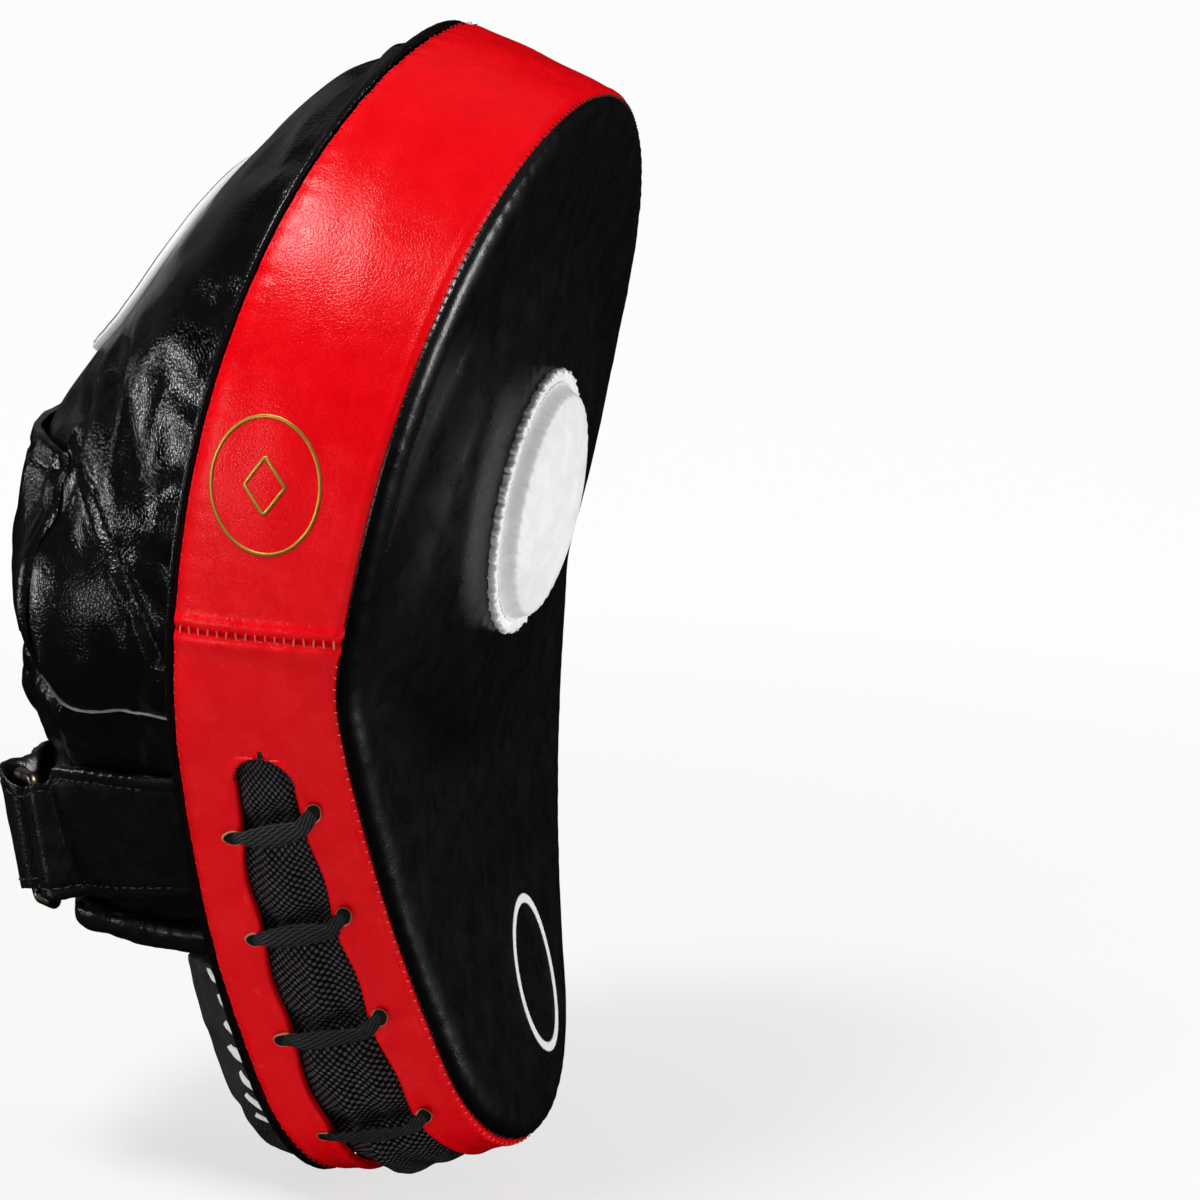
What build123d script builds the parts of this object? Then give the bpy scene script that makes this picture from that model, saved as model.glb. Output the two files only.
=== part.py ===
"""Focus mitt for the left hand: a curved, egg-shaped striking pad with a padded hand compartment.

Frame: millimetres, +Z up along the fingers, the striking face looks towards -Y and the hand goes
in behind the pad at +Y.  The origin is on the palm lining, on the centre line, where the middle
of the palm rests.  The thumb side is -X.
"""
import math
import os

from build123d import *

# ------------------------------------------------------------------ driving dimensions
gap = 0.3                       # clearance between neighbouring sewn or glued layers

# egg-shaped outline of the pad, drawn in the plane of the face's waist
crown_radius = 107.6
crown_half_angle = 37.5         # degrees, from straight up to the crown's end
shoulder_radius = 98.0
shoulder_end_angle = 85.0
flank_radius = 153.5
flank_end_angle = 115.0
tip_radius = 55.5
pad_top = 156.7                 # height of the crown in that plane

# the side wall fans out from a line in front of the face
fan_distance = 420.0
fan_height = -22.0

# lengthwise curve of the face: a bend at the waist and a gentle arc each way
pad_depth = 43.75               # face to back edge, at the back's deepest point
face_waist_z = 6.2
face_waist_radius = 50.0
face_upper_lean = 11.0
face_lower_lean = 4.2
face_upper_radius = 1640.0
face_lower_radius = 532.0

# lengthwise curve of the back
back_waist_z = -19.0
back_upper_radius = 465.0
back_lower_radius = 367.0
curve_reach = 215.0             # length of each curve, well past the outline

# skins, foams and boards, front to back
face_skin = 1.6
face_rim = 5.0                  # how far the face leather turns down the side
face_edge_radius = 3.6
strike_foam_depth = 18.0
board_thickness = 2.4
back_skin = 1.6
band_thickness = 1.8
foam_inset = 5.2                # foam edge to the band's outside, room for lace and mesh
palm_lining_thickness = 2.0

# bump under the target, and the target pad
target_z = 42.5
bump_ease = 4.4                  # degrees by which the bump leans less than the face there
bump_radius = 84.0
bump_rise = 13.0
target_radius = 33.4
target_rim = 3.2
target_skin = 1.3
target_rise = 6.0

# red band round the pad
cross_seam_z = 22.3
slot_top_z = -9.0
front_strip = 10.3              # band left in front of the slot
back_strip = 12.3               # band left behind the slot

# flat lace over the slot
lace_width = 5.6
lace_thickness = 1.5
lace_first_z = -25.0
lace_pitch = 28.2
lace_count = 4
lace_drop = 6.0                 # each bar is lower at the back by this much
lace_hole_edge = 3.0            # hole centre to the slot's edge
lace_hole_play = 0.5
mesh_thickness = 0.8

# welt round the back edge
welt_height = 4.5
welt_outside = 1.2
welt_inside = 3.3

# hand compartment
hood_margin = 6.0               # base of the hood to the pad's outline
cuff_margin = 13.0
knuckle_z = 54.0
hood_top_margin = 5.0
cuff_bottom_z = -64.0
leather = 1.8
padding = 8.0
lining = 1.0
crown_share = 0.13              # the back's corners are lower than its middle by this share
panel_overlap = 6.0
panel_edge_z = 0.0
hem_height = 5.0
hem_outside = 1.5
hem_inside = 5.5
hood_profile = [(0.0, 64.0, 44.0), (0.2, 52.0, 46.0), (0.45, 39.0, 48.0),
                (0.7, 27.0, 45.0), (0.86, 19.5, 32.0), (1.0, 8.5, 15.0)]
cuff_profile = [(0.0, 64.0, 44.0), (0.3, 65.0, 44.0), (0.6, 63.5, 42.0),
                (0.85, 57.5, 40.0), (1.0, 51.0, 38.0)]

# knuckle flap, badge, thumb pouch and palm ball
flap_half_width = 41.0
flap_thickness = 2.5
flap_bottom_z = -6.0
badge_z = 100.0
badge_half_width = 25.0
badge_half_height = 25.0
badge_thickness = 3.0
badge_edge = 3.0
thumb_inboard = 37.62            # pouch centre, in from the pad's side
thumb_y = 24.0
thumb_z = 19.0
thumb_radii = (22.0, 22.0, 30.0)
thumb_skin = 1.8
thumb_hole_radius = 13.0
ball_radius = 27.0
ball_height = 15.0
ball_z = -4.0

# heel cushion
heel_margin = 7.0
heel_top_gap = 3.0
heel_skin = 1.2
heel_tip_margin = 1.5
heel_profile = [(0.0, 21.5, 38.0), (0.35, 21.5, 35.0), (0.7, 20.5, 27.0), (0.9, 19.0, 19.0),
                (1.0, 15.0, 11.0)]

# wrist strap, ring and tail
strap_width = 27.0
strap_thickness = 2.0
strap_z = -47.0                 # middle of the strap where it meets the ring
ring_lean = 11.3                # degrees, the ring's bars lean back with height
ring_wire = 3.2
ring_bar_spacing = 14.6
ring_side_play = 1.0
ring_corner_radius = 2.3
ring_face_angle = 38.0          # degrees, the ring's plane at the compartment's corner
ring_height = 5.0               # ring's middle plane above the compartment's corner
ring_swing = 3.5                # degrees each way while the strap is fastened
loop_skin = 1.8
pile = 1.7
tail_reach_x = 38.0
patch_reach_x = 33.0
loop_patch_reach_x = 52.0
patch_start = 8.0

# ------------------------------------------------------------------ derived frame values
back_at_origin = back_upper_radius - math.sqrt(back_upper_radius**2 - back_waist_z**2)
back_y0 = -palm_lining_thickness - gap + back_at_origin
face_y0 = back_y0 - pad_depth
axis_y = face_y0 - fan_distance
far_x = 260.0


# ------------------------------------------------------------------ pad outline
def direction(degrees):
    """Unit vector in the outline's plane, measured from straight up towards +X."""
    angle = math.radians(degrees)
    return Vector(math.sin(angle), math.cos(angle))


def outline_arcs():
    """Centres, radii and angle ranges of the right half's arcs, crown to tip."""
    crown = Vector(0, pad_top - crown_radius)
    shoulder = crown + direction(crown_half_angle) * (crown_radius - shoulder_radius)
    flank = shoulder - direction(shoulder_end_angle) * (flank_radius - shoulder_radius)
    normal = direction(flank_end_angle)
    touch = flank + normal * flank_radius
    tip = Vector(0, (touch.dot(normal) - tip_radius) / normal.Y)
    return [
        (crown, crown_radius, 0.0, crown_half_angle),
        (shoulder, shoulder_radius, crown_half_angle, shoulder_end_angle),
        (flank, flank_radius, shoulder_end_angle, flank_end_angle),
        (tip, tip_radius, flank_end_angle, 180.0),
    ]


def outline_arc(centre, radius, start, end, side=1):
    points = []
    for angle in (start, (start + end) / 2, end):
        point = centre + direction(angle) * radius
        points.append(Vector(side * point.X, point.Y - fan_height))
    return ThreePointArc(*points)


def outline_face(inset, y):
    """The outline at depth y, inset from the band's outside, its height fanned out."""
    arcs = outline_arcs()
    crown, shoulder, flank, tip = [(c, r - inset, a, b) for c, r, a, b in arcs]
    edges = [outline_arc(crown[0], crown[1], -crown[3], crown[3])]
    edges.append(outline_arc(tip[0], tip[1], tip[2], 360.0 - tip[2]))
    for side in (1, -1):
        edges.append(outline_arc(*shoulder, side))
        edges.append(outline_arc(*flank, side))
        start = flank[0] + direction(flank[3]) * flank[1]
        end = tip[0] + direction(tip[2]) * tip[1]
        first = Vector(side * start.X, start.Y - fan_height)
        last = Vector(side * end.X, end.Y - fan_height)
        edges.append(Line(first, last))
    flat = Face(Wire([part.edge() for part in edges]))
    fanned = scale(flat, by=(1, (y - axis_y) / fan_distance, 1))
    plane = Plane(origin=(0, y, fan_height), x_dir=(1, 0, 0), z_dir=(0, -1, 0))
    return plane * fanned


def outline_block(inset=0.0):
    """The pad's outline as a block that runs from in front of the face to behind the back."""
    return loft([outline_face(inset, face_y0 - 60), outline_face(inset, back_y0 + 30)], ruled=True)


def pad_half_width(z, y):
    """Half the width of the pad at height z and depth y."""
    height = fan_height + (z - fan_height) * fan_distance / (y - axis_y)
    crown, shoulder, flank, tip = outline_arcs()
    for centre, radius, start, end in (crown, shoulder, flank, tip):
        top = (centre + direction(start) * radius).Y
        bottom = (centre + direction(end) * radius).Y
        if bottom <= height <= top:
            return centre.X + math.sqrt(radius**2 - (height - centre.Y)**2)
    upper = flank[0] + direction(flank[3]) * flank[1]
    lower = tip[0] + direction(tip[2]) * tip[1]
    if height > upper.Y or height < lower.Y:
        return 0.0
    share = (upper.Y - height) / (upper.Y - lower.Y)
    return upper.X + (lower.X - upper.X) * share


# ------------------------------------------------------------------ lengthwise curves
def turn_arc(point, heading, radius, turn):
    """An arc in the YZ plane; a positive turn is to the left. Gives the edge, end and heading."""
    side = math.copysign(1.0, turn)
    centre = point + Vector(-math.sin(heading), math.cos(heading)) * (radius * side)
    spoke = point - centre
    middle = centre + spoke.rotate(Axis.Z, math.degrees(turn / 2))
    end = centre + spoke.rotate(Axis.Z, math.degrees(turn))
    return ThreePointArc(point, middle, end).edge(), end, heading + turn


def face_curve(offset):
    """Edges of the face's curve, top to bottom, moved back by offset."""
    start = Vector(face_y0 + offset, face_waist_z)
    waist = face_waist_radius + offset
    halves = []
    for sign, lean, radius in ((1, face_upper_lean, face_upper_radius),
                               (-1, face_lower_lean, face_lower_radius)):
        bend, point, heading = turn_arc(start, sign * math.pi / 2, waist, sign * math.radians(lean))
        run, end, _ = turn_arc(point, heading, radius + offset, sign * curve_reach / radius)
        halves.append(([bend, run], end))
    return halves[0][0] + halves[1][0], halves[0][1], halves[1][1]


def back_curve(offset):
    """Edges of the back's curve, top to bottom, moved back by offset."""
    start = Vector(back_y0 + offset, back_waist_z)
    upper, top, _ = turn_arc(start, math.pi / 2, back_upper_radius + offset,
                             curve_reach / back_upper_radius)
    lower, bottom, _ = turn_arc(start, -math.pi / 2, back_lower_radius + offset,
                                -curve_reach / back_lower_radius)
    return [upper, lower], top, bottom


def layer(front, back):
    """A curved slab between two lengthwise curves, as wide as the pad and more."""
    front_edges, front_top, front_bottom = front
    back_edges, back_top, back_bottom = back
    ends = [Line(front_top, back_top).edge(), Line(front_bottom, back_bottom).edge()]
    return extrude(Plane.YZ * Face(Wire(front_edges + back_edges + ends)), far_x / 2, both=True)


def face_point(z):
    """Depth and lean, in radians, of the face's curve at height z, clear of its waist bend."""
    sign = 1 if z > face_waist_z else -1
    lean = math.radians(face_upper_lean if z > face_waist_z else face_lower_lean)
    radius = face_upper_radius if z > face_waist_z else face_lower_radius
    centre_y = face_y0 - face_waist_radius * (1 - math.cos(lean)) - radius * math.cos(lean)
    centre_z = face_waist_z + sign * (face_waist_radius - radius) * math.sin(lean)
    angle = math.asin(sign * (z - centre_z) / radius)
    return centre_y + radius * math.cos(angle), angle


def back_y(z):
    """Depth of the back's curve at height z."""
    radius = back_upper_radius if z > back_waist_z else back_lower_radius
    return back_y0 - radius + math.sqrt(radius**2 - (z - back_waist_z)**2)


def back_end_z(outline_z):
    """Height at which the outline's point on the centre line meets the back."""
    z = outline_z
    for _ in range(8):
        z = fan_height + (outline_z - fan_height) * (back_y(z) - axis_y) / fan_distance
    return z


def slab_z(low, high):
    return Pos(0, 0, (low + high) / 2) * Box(far_x, far_x, high - low)


tip_z = outline_arcs()[3][0].Y - tip_radius
back_top_z = back_end_z(pad_top)
back_tip_z = back_end_z(tip_z)
behind_back = layer(back_curve(gap), back_curve(100.0))


# ------------------------------------------------------------------ bump and target
bump_y, face_lean_there = face_point(target_z)
bump_lean = face_lean_there - math.radians(bump_ease)
bump_sphere = (bump_radius**2 + bump_rise**2) / (2 * bump_rise)
into_pad = Vector(0, math.cos(bump_lean), math.sin(bump_lean))
bump_top = Vector(0, bump_y, target_z) - into_pad * bump_rise
bump_centre = bump_top + into_pad * bump_sphere
target_plane = Plane(origin=bump_top, x_dir=(1, 0, 0), z_dir=-into_pad)


def bump(shrink, back):
    """The part of the bump's sphere that stands in front of the face's curve."""
    ball = Pos(bump_centre) * Sphere(bump_sphere - shrink)
    return ball & layer(face_curve(-bump_rise - 4.0), face_curve(back))


def pad_block(shrink, back):
    """The pad's front body, from the skin's depth to a depth behind the face."""
    slab = layer(face_curve(shrink), face_curve(back))
    return outline_block(shrink) & (slab + bump(shrink, back))


def rim_edges(body):
    """The edges where the face meets the side wall; the crease at the waist isn't one."""
    chosen = []
    for edge in body.edges():
        middle = edge.center()
        on_face = abs(middle.Y - face_point(middle.Z)[0]) < face_rim / 4
        across = abs(middle.X) < 1.0 and abs(middle.Z - face_waist_z) < face_waist_radius
        if on_face and not across:
            chosen.append(edge)
    return chosen


def make_face_leather():
    pan = outline_block() & layer(face_curve(0), face_curve(face_rim))
    pan = fillet(rim_edges(pan), face_edge_radius)
    inner = outline_block(face_skin) & (layer(face_curve(face_skin), face_curve(face_rim + 5))
                                        + bump(face_skin, face_rim + 5))
    return (pan + bump(0, face_rim)) - inner


def dome(radius, base_height, edge_height, middle_height):
    """A closed cap over the bump, from base_height above it up to a dome's surface."""
    fall = bump_sphere - math.sqrt(bump_sphere**2 - radius**2)
    rise = middle_height - edge_height + fall
    dome_sphere = (radius**2 + rise**2) / (2 * rise)
    upper = Pos(0, 0, middle_height - dome_sphere) * Sphere(dome_sphere)
    lower = Pos(0, 0, -bump_sphere) * Sphere(bump_sphere + base_height)
    return target_plane * ((upper & Cylinder(radius, 4 * target_radius)) - lower)


def make_target_leather():
    flat_rim = dome(target_radius, gap, gap + target_skin, gap + target_skin)
    cap = dome(target_radius - target_rim, gap, gap + target_skin, target_rise)
    hollow_radius = target_radius - target_rim - target_skin
    return flat_rim + cap - dome(hollow_radius, 0.0, 2 * gap, target_rise - target_skin)


def make_target_foam():
    hollow_radius = target_radius - target_rim - target_skin
    return dome(hollow_radius - 2 * gap, gap, 1.4 * gap, target_rise - target_skin - gap)


# ------------------------------------------------------------------ pad layers
board_back = -back_skin - gap
board_front = board_back - board_thickness
strike_back = face_skin + gap + strike_foam_depth


def make_strike_foam():
    front = pad_block(face_skin + gap, face_rim)
    body = layer(face_curve(face_rim - 0.5), face_curve(strike_back))
    return front + (outline_block(foam_inset) & body)


def make_core_foam():
    return outline_block(foam_inset) & layer(face_curve(strike_back + gap),
                                             back_curve(board_front - gap))


def make_back_board():
    return outline_block(foam_inset) & layer(back_curve(board_front), back_curve(board_back))


def make_back_leather():
    inside_welt = outline_block(welt_inside + gap)
    return inside_welt & layer(back_curve(-back_skin), back_curve(0))


def make_back_welt():
    ring = outline_block(-welt_outside) - outline_block(welt_inside)
    return ring & layer(back_curve(-welt_height / 2), back_curve(welt_height / 2))


# ------------------------------------------------------------------ band, slot, mesh and lace
def band_wall():
    wall = outline_block() - outline_block(band_thickness)
    return wall & layer(face_curve(face_rim + gap), back_curve(-welt_height / 2 - gap))


slot_front = face_rim + gap + front_strip
slot_back = -welt_height / 2 - gap - back_strip


def slot_middle(z):
    """Depth of the slot's middle line and half its width at height z."""
    face, lean = face_point(z)
    front = face + slot_front / math.cos(lean)
    back = back_y(z) + slot_back
    return (front + back) / 2, (back - front) / 2


def slot_cutter(wider=0.0):
    """The slot's shape, extruded across the mitt, with a round top end."""
    half = slot_middle(slot_top_z - 11.0)[1] + wider
    centre_z = slot_top_z - half + wider
    middle = slot_middle(centre_z)[0]
    body = layer(face_curve(slot_front - wider), back_curve(slot_back + wider))
    lower = body & slab_z(-far_x, centre_z)
    end = Pos(0, middle, centre_z) * Rotation(0, 90, 0) * Cylinder(half, far_x)
    return lower + end


def lace_holes():
    """Depth and height of the front and back hole of each bar, top to bottom."""
    pairs = []
    for index in range(lace_count):
        front_z = lace_first_z - index * lace_pitch
        back_z = front_z - lace_drop
        middle, half = slot_middle(front_z)
        front = (middle - half - lace_hole_edge, front_z)
        middle, half = slot_middle(back_z)
        back = (middle + half + lace_hole_edge, back_z)
        pairs.append((front, back))
    return pairs


def across_strip(start, end, width, over):
    """A strip between two points of the YZ plane, extruded across the mitt."""
    run = Vector(end[0] - start[0], end[1] - start[1])
    turn = math.degrees(math.atan2(run.Y, run.X))
    middle = Vector((start[0] + end[0]) / 2, (start[1] + end[1]) / 2)
    plate = Rectangle(run.length + 2 * over, width)
    placed = Pos(middle.X, middle.Y) * Rotation(0, 0, turn) * plate
    return extrude(Plane.YZ * placed, far_x / 2, both=True)


def hole_cutter(pair, play):
    """Both holes of a bar, as slits the size of the flat lace."""
    front, back = pair
    run = Vector(back[0] - front[0], back[1] - front[1])
    turn = math.degrees(math.atan2(run.Y, run.X))
    slit = Rectangle(lace_thickness + 2 * play, lace_width + 2 * play)
    cutters = []
    for point in pair:
        placed = Pos(*point) * Rotation(0, 0, turn) * slit
        cutters.append(extrude(Plane.YZ * placed, far_x / 2, both=True))
    return cutters[0] + cutters[1]


def make_gusset_upper():
    return band_wall() & slab_z(cross_seam_z + gap, far_x)


def make_gusset_lower():
    lower = band_wall() & slab_z(-far_x, cross_seam_z)
    lower -= slot_cutter()
    for pair in lace_holes():
        lower -= hole_cutter(pair, lace_hole_play)
    return lower


lace_inside = band_thickness + gap
mesh_outside = lace_inside + lace_thickness + gap


def make_vent_mesh():
    sheet = outline_block(mesh_outside) - outline_block(mesh_outside + mesh_thickness)
    return sheet & slot_cutter(lace_hole_edge + 2.0)


def make_laces():
    """The lace of each side: bars outside the band, legs in the holes, runs inside the band."""
    outside = outline_block(-gap - lace_thickness) - outline_block(-gap)
    through = outline_block(-gap - lace_thickness) - outline_block(lace_inside + lace_thickness)
    inside = outline_block(lace_inside) - outline_block(lace_inside + lace_thickness)
    pairs = lace_holes()
    over = lace_thickness / 2
    pieces = []
    for pair in pairs:
        pieces.append(outside & across_strip(*pair, lace_width, over))
        pieces.append(through & hole_cutter(pair, 0.0))
    for index in range(lace_count - 1):
        side = index % 2
        ends = (pairs[index][side], pairs[index + 1][side])
        pieces.append(inside & across_strip(*ends, lace_thickness * 2, lace_width / 2))
    whole = pieces[0]
    for piece in pieces[1:]:
        whole += piece
    left = whole & (Pos(-far_x / 2, 0, 0) * Box(far_x, far_x * 2, far_x * 2))
    right = whole & (Pos(far_x / 2, 0, 0) * Box(far_x, far_x * 2, far_x * 2))
    return left, right


# ------------------------------------------------------------------ hand compartment
sunk = 8.0                      # the sections start this deep, and are trimmed by the back's curve


def hand_section(z, depth, top_half, margin, inset):
    """A cross-section of the compartment at height z: a base, two bowed sides and a crowned back."""
    base_y = back_y(z)
    base_half = max(pad_half_width(z, base_y) - margin, top_half + 4.0) - 1.2 * inset
    corner = Vector(top_half - 0.62 * inset, base_y + depth * (1 - crown_share) - 0.78 * inset)
    foot = Vector(base_half, base_y - sunk)
    ground = Vector(base_half, base_y)
    out = Vector(corner.Y - ground.Y, ground.X - corner.X).normalized()
    side = (corner + ground) / 2 + out * (depth * 0.10)
    top = Vector(0, base_y + depth - inset)
    right = [Line(foot, ground), ThreePointArc(ground, side, corner)]
    mirror_point = [Vector(-p.X, p.Y) for p in (foot, ground, side, corner)]
    left = [Line(mirror_point[0], mirror_point[1]), ThreePointArc(*mirror_point[1:])]
    lid = [ThreePointArc(corner, top, mirror_point[3]), Line(foot, mirror_point[0])]
    face = Face(Wire([part.edge() for part in right + left + lid]))
    return Pos(0, 0, z) * face


def profile_at(profile, share):
    """Depth and half width at a share of the way along a profile."""
    for first, second in zip(profile, profile[1:]):
        if share <= second[0]:
            part = (share - first[0]) / (second[0] - first[0])
            return [a + (b - a) * part for a, b in zip(first[1:], second[1:])]
    return profile[-1][1:]


def compartment(profile, z_start, z_end, margin, inset, end_inset=0.0):
    """A loft through the profile's sections: (share of the way, depth, half width at the back)."""
    kept = 1 - end_inset / abs(z_end - z_start)
    sections = []
    for step, _, _ in profile:
        share = step * kept
        depth, top_half = profile_at(profile, share)
        z = z_start + (z_end - z_start) * share
        sections.append(hand_section(z, depth, top_half, margin, inset))
    return loft(sections)


hood_top_z = back_top_z - hood_top_margin


def hood_body(inset, end_inset=0.0):
    return compartment(hood_profile, knuckle_z, hood_top_z, hood_margin, inset, end_inset)


def cuff_body(inset):
    """The hand and wrist part: its base narrows from the hood's margin to the cuff's."""
    sections = []
    for share, depth, top_half in cuff_profile:
        z = knuckle_z + (cuff_bottom_z - knuckle_z) * share
        margin = hood_margin + (cuff_margin - hood_margin) * share
        sections.append(hand_section(z, depth, top_half, margin, inset))
    return loft(sections)


def thumb_centre():
    """The middle of the thumb pouch, a set way in from the pad's side."""
    return Vector(thumb_inboard - pad_half_width(thumb_z, back_y(thumb_z)), thumb_y, thumb_z)


def thumb_hole():
    reach = 2 * thumb_radii[0] + 40.0
    hole = Rotation(0, 90, 0) * Cylinder(thumb_hole_radius, reach)
    return Pos(*(thumb_centre() + Vector(10.0, -3.0, 0))) * hole


foam_out = 2 * leather + 2 * gap
foam_in = foam_out + padding
lining_out = foam_in + gap
lining_in = lining_out + lining


def welt_room():
    """The space that the welt takes, with a clearance all round."""
    ring = outline_block(-welt_outside - gap) - outline_block(welt_inside + gap)
    return ring & layer(back_curve(-welt_height / 2), back_curve(welt_height / 2 + gap))


def make_hood_shell():
    shell = hood_body(0) - hood_body(leather, leather)
    return (shell & behind_back) - welt_room()


def make_hood_foam():
    shell = hood_body(leather + gap, leather + gap) - hood_body(foam_in, 3 * foam_in)
    return shell & behind_back & slab_z(knuckle_z + gap, far_x)


def make_hood_lining():
    shell = hood_body(lining_out, 3 * foam_in + gap) - hood_body(lining_in, 3 * foam_in + gap + lining)
    return shell & behind_back & slab_z(knuckle_z + gap, far_x)


def make_hand_shell():
    shell = (cuff_body(0) - cuff_body(leather)) & slab_z(panel_edge_z, knuckle_z - gap)
    return (shell & behind_back) - thumb_hole()


def make_cuff_shell():
    inset = leather + gap
    shell = cuff_body(inset) - cuff_body(inset + leather)
    return shell & behind_back & slab_z(cuff_bottom_z - 1, panel_edge_z + panel_overlap)


def make_cuff_foam():
    shell = cuff_body(foam_out) - cuff_body(foam_in)
    return (shell & behind_back & slab_z(cuff_bottom_z + gap, knuckle_z - gap)) - thumb_hole()


def make_cuff_lining():
    shell = cuff_body(lining_out) - cuff_body(lining_in)
    return (shell & behind_back & slab_z(cuff_bottom_z + gap, knuckle_z - gap)) - thumb_hole()


def make_cuff_hem():
    _, depth, top_half = cuff_profile[-1]
    high = cuff_bottom_z - gap
    low = high - hem_height
    outer = [hand_section(z, depth, top_half, cuff_margin, -hem_outside) for z in (high, low)]
    inner = [hand_section(z, depth, top_half, cuff_margin, hem_inside) for z in (high, low)]
    return (loft(outer, ruled=True) - loft(inner, ruled=True)) & behind_back


def make_knuckle_flap():
    sheet = cuff_body(-gap - flap_thickness) - cuff_body(-gap)
    window = Pos(0, far_x / 2, 0) * Box(2 * flap_half_width, far_x, far_x)
    return sheet & window & slab_z(flap_bottom_z, knuckle_z - gap)


def badge_block(shrink):
    oval = Ellipse(badge_half_width - shrink, badge_half_height - shrink)
    plane = Plane(origin=(0, 0, badge_z), x_dir=(1, 0, 0), z_dir=(0, 1, 0))
    return extrude(plane * oval, far_x / 2)


def make_badge():
    sheet = hood_body(-gap - badge_thickness) - hood_body(-gap)
    patch = sheet & badge_block(badge_edge + gap)
    edging = (sheet & badge_block(0)) - badge_block(badge_edge)
    return patch, edging


def thumb_shape(shrink):
    radii = tuple(radius - shrink for radius in thumb_radii)
    return Pos(*thumb_centre()) * scale(Sphere(1.0), by=radii)


def make_thumb_pouch():
    shell = thumb_shape(0) - thumb_shape(thumb_skin)
    return (shell & behind_back) - cuff_body(-gap)


def make_palm_lining():
    sheet = layer(back_curve(gap), back_curve(gap + palm_lining_thickness))
    room = cuff_body(lining_in + gap) & slab_z(cuff_bottom_z + 4.0, knuckle_z)
    upper = hood_body(lining_in + gap, 3 * foam_in + 8.0)
    return sheet & (room + upper)


def make_palm_ball():
    sphere = (ball_radius**2 + ball_height**2) / (2 * ball_height)
    ball = Pos(0, ball_height - sphere, ball_z) * Sphere(sphere)
    return ball & layer(back_curve(2 * gap + palm_lining_thickness), back_curve(60.0))


# ------------------------------------------------------------------ heel cushion
def heel_body(inset):
    top = cuff_bottom_z - gap - hem_height - heel_top_gap
    return compartment(heel_profile, top - inset, back_tip_z + heel_tip_margin, heel_margin, inset,
                       inset)


def make_heel_panel():
    return ((heel_body(0) - heel_body(heel_skin)) & behind_back) - welt_room()


def make_heel_foam():
    return (heel_body(heel_skin + gap) & behind_back) - welt_room()


# ------------------------------------------------------------------ strap, ring and tail
def corner_at(z):
    """The compartment's corner on the thumb side at height z."""
    depth, half = profile_at(cuff_profile, (knuckle_z - z) / (knuckle_z - cuff_bottom_z))
    return Vector(-half, back_y(z) + depth * (1 - crown_share), z)


lean = math.radians(ring_lean)
bar_direction = Vector(0, math.sin(lean), math.cos(lean))
face_angle = math.radians(ring_face_angle)
outwards = bar_direction.cross(Vector(math.cos(face_angle), math.sin(face_angle), 0)).normalized()
along_strap = outwards.cross(bar_direction).normalized()
ring_middle = corner_at(strap_z) + outwards * ring_height
ring_plane = Plane(origin=ring_middle, x_dir=along_strap, z_dir=outwards)
bar_half = ring_bar_spacing / 2
tab_axis = ring_middle - along_strap * bar_half
roll_axis = ring_middle + along_strap * bar_half
swing_room = ring_bar_spacing * math.sin(math.radians(ring_swing))


def strap_band(width=strap_width):
    """The space between the strap's two edges, through the whole mitt."""
    plane = Plane(origin=corner_at(strap_z), x_dir=along_strap, z_dir=bar_direction)
    return plane * Box(2 * far_x, 2 * far_x, width)


def side_of_ring(position, towards):
    """The half of space on one side of a bar, across the strap's run."""
    plane = Plane(origin=position, x_dir=along_strap, z_dir=outwards)
    return plane * Pos(towards * far_x, 0, 0) * Box(2 * far_x, 2 * far_x, 2 * far_x)


def bar_cylinder(position, radius, length):
    plane = Plane(origin=position, x_dir=along_strap, z_dir=bar_direction)
    return plane * Cylinder(radius, length)


def strap_loop(position, bore, towards):
    """The leather turned round a ring bar, with the tongue that runs down to the strap."""
    tube = bar_cylinder(position, bore + loop_skin, strap_width)
    plane = Plane(origin=position, x_dir=along_strap, z_dir=outwards)
    reach = ring_height + 4.0
    tongue = plane * Pos(towards * (bore + loop_skin) / 2, 0, -reach / 2) * Box(
        bore + loop_skin, strap_width, reach)
    return (tube + tongue) - bar_cylinder(position, bore, strap_width + 2) - cuff_body(-gap)


def strap_sheet(low, high):
    return (cuff_body(-high) - cuff_body(-low)) & behind_back & strap_band()


def make_ring():
    height = strap_width + 2 * ring_side_play + ring_wire
    path = ring_plane * RectangleRounded(ring_bar_spacing, height, ring_corner_radius)
    start = ring_plane * Plane(origin=(bar_half, 0, 0), x_dir=(1, 0, 0), z_dir=(0, 1, 0))
    return sweep(start * Circle(ring_wire / 2), path=path.faces()[0].outer_wire())


def make_ring_tab():
    sheet = strap_sheet(gap, gap + strap_thickness) & side_of_ring(tab_axis, -1)
    return sheet + strap_loop(tab_axis, ring_wire / 2 + gap, -1)


def make_wrist_strap():
    sheet = strap_sheet(gap, gap + strap_thickness) & side_of_ring(roll_axis, 1)
    return sheet + strap_loop(roll_axis, ring_wire / 2 + gap + swing_room, 1)


loop_low = 2 * gap + strap_thickness
hook_low = loop_low + pile + gap
tail_low = hook_low + pile + gap
roll_radius = ring_wire / 2 + gap + swing_room + loop_skin


def reach_of(x_end):
    """Everything on the thumb side of a plane across the mitt at x_end."""
    return Pos(x_end - far_x, 0, 0) * Box(2 * far_x, 2 * far_x, 2 * far_x)


def make_loop_patch():
    sheet = strap_sheet(loop_low, loop_low + pile) & side_of_ring(roll_axis, 1)
    start = roll_axis + along_strap * patch_start
    return sheet & side_of_ring(start, 1) & reach_of(loop_patch_reach_x)


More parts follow.
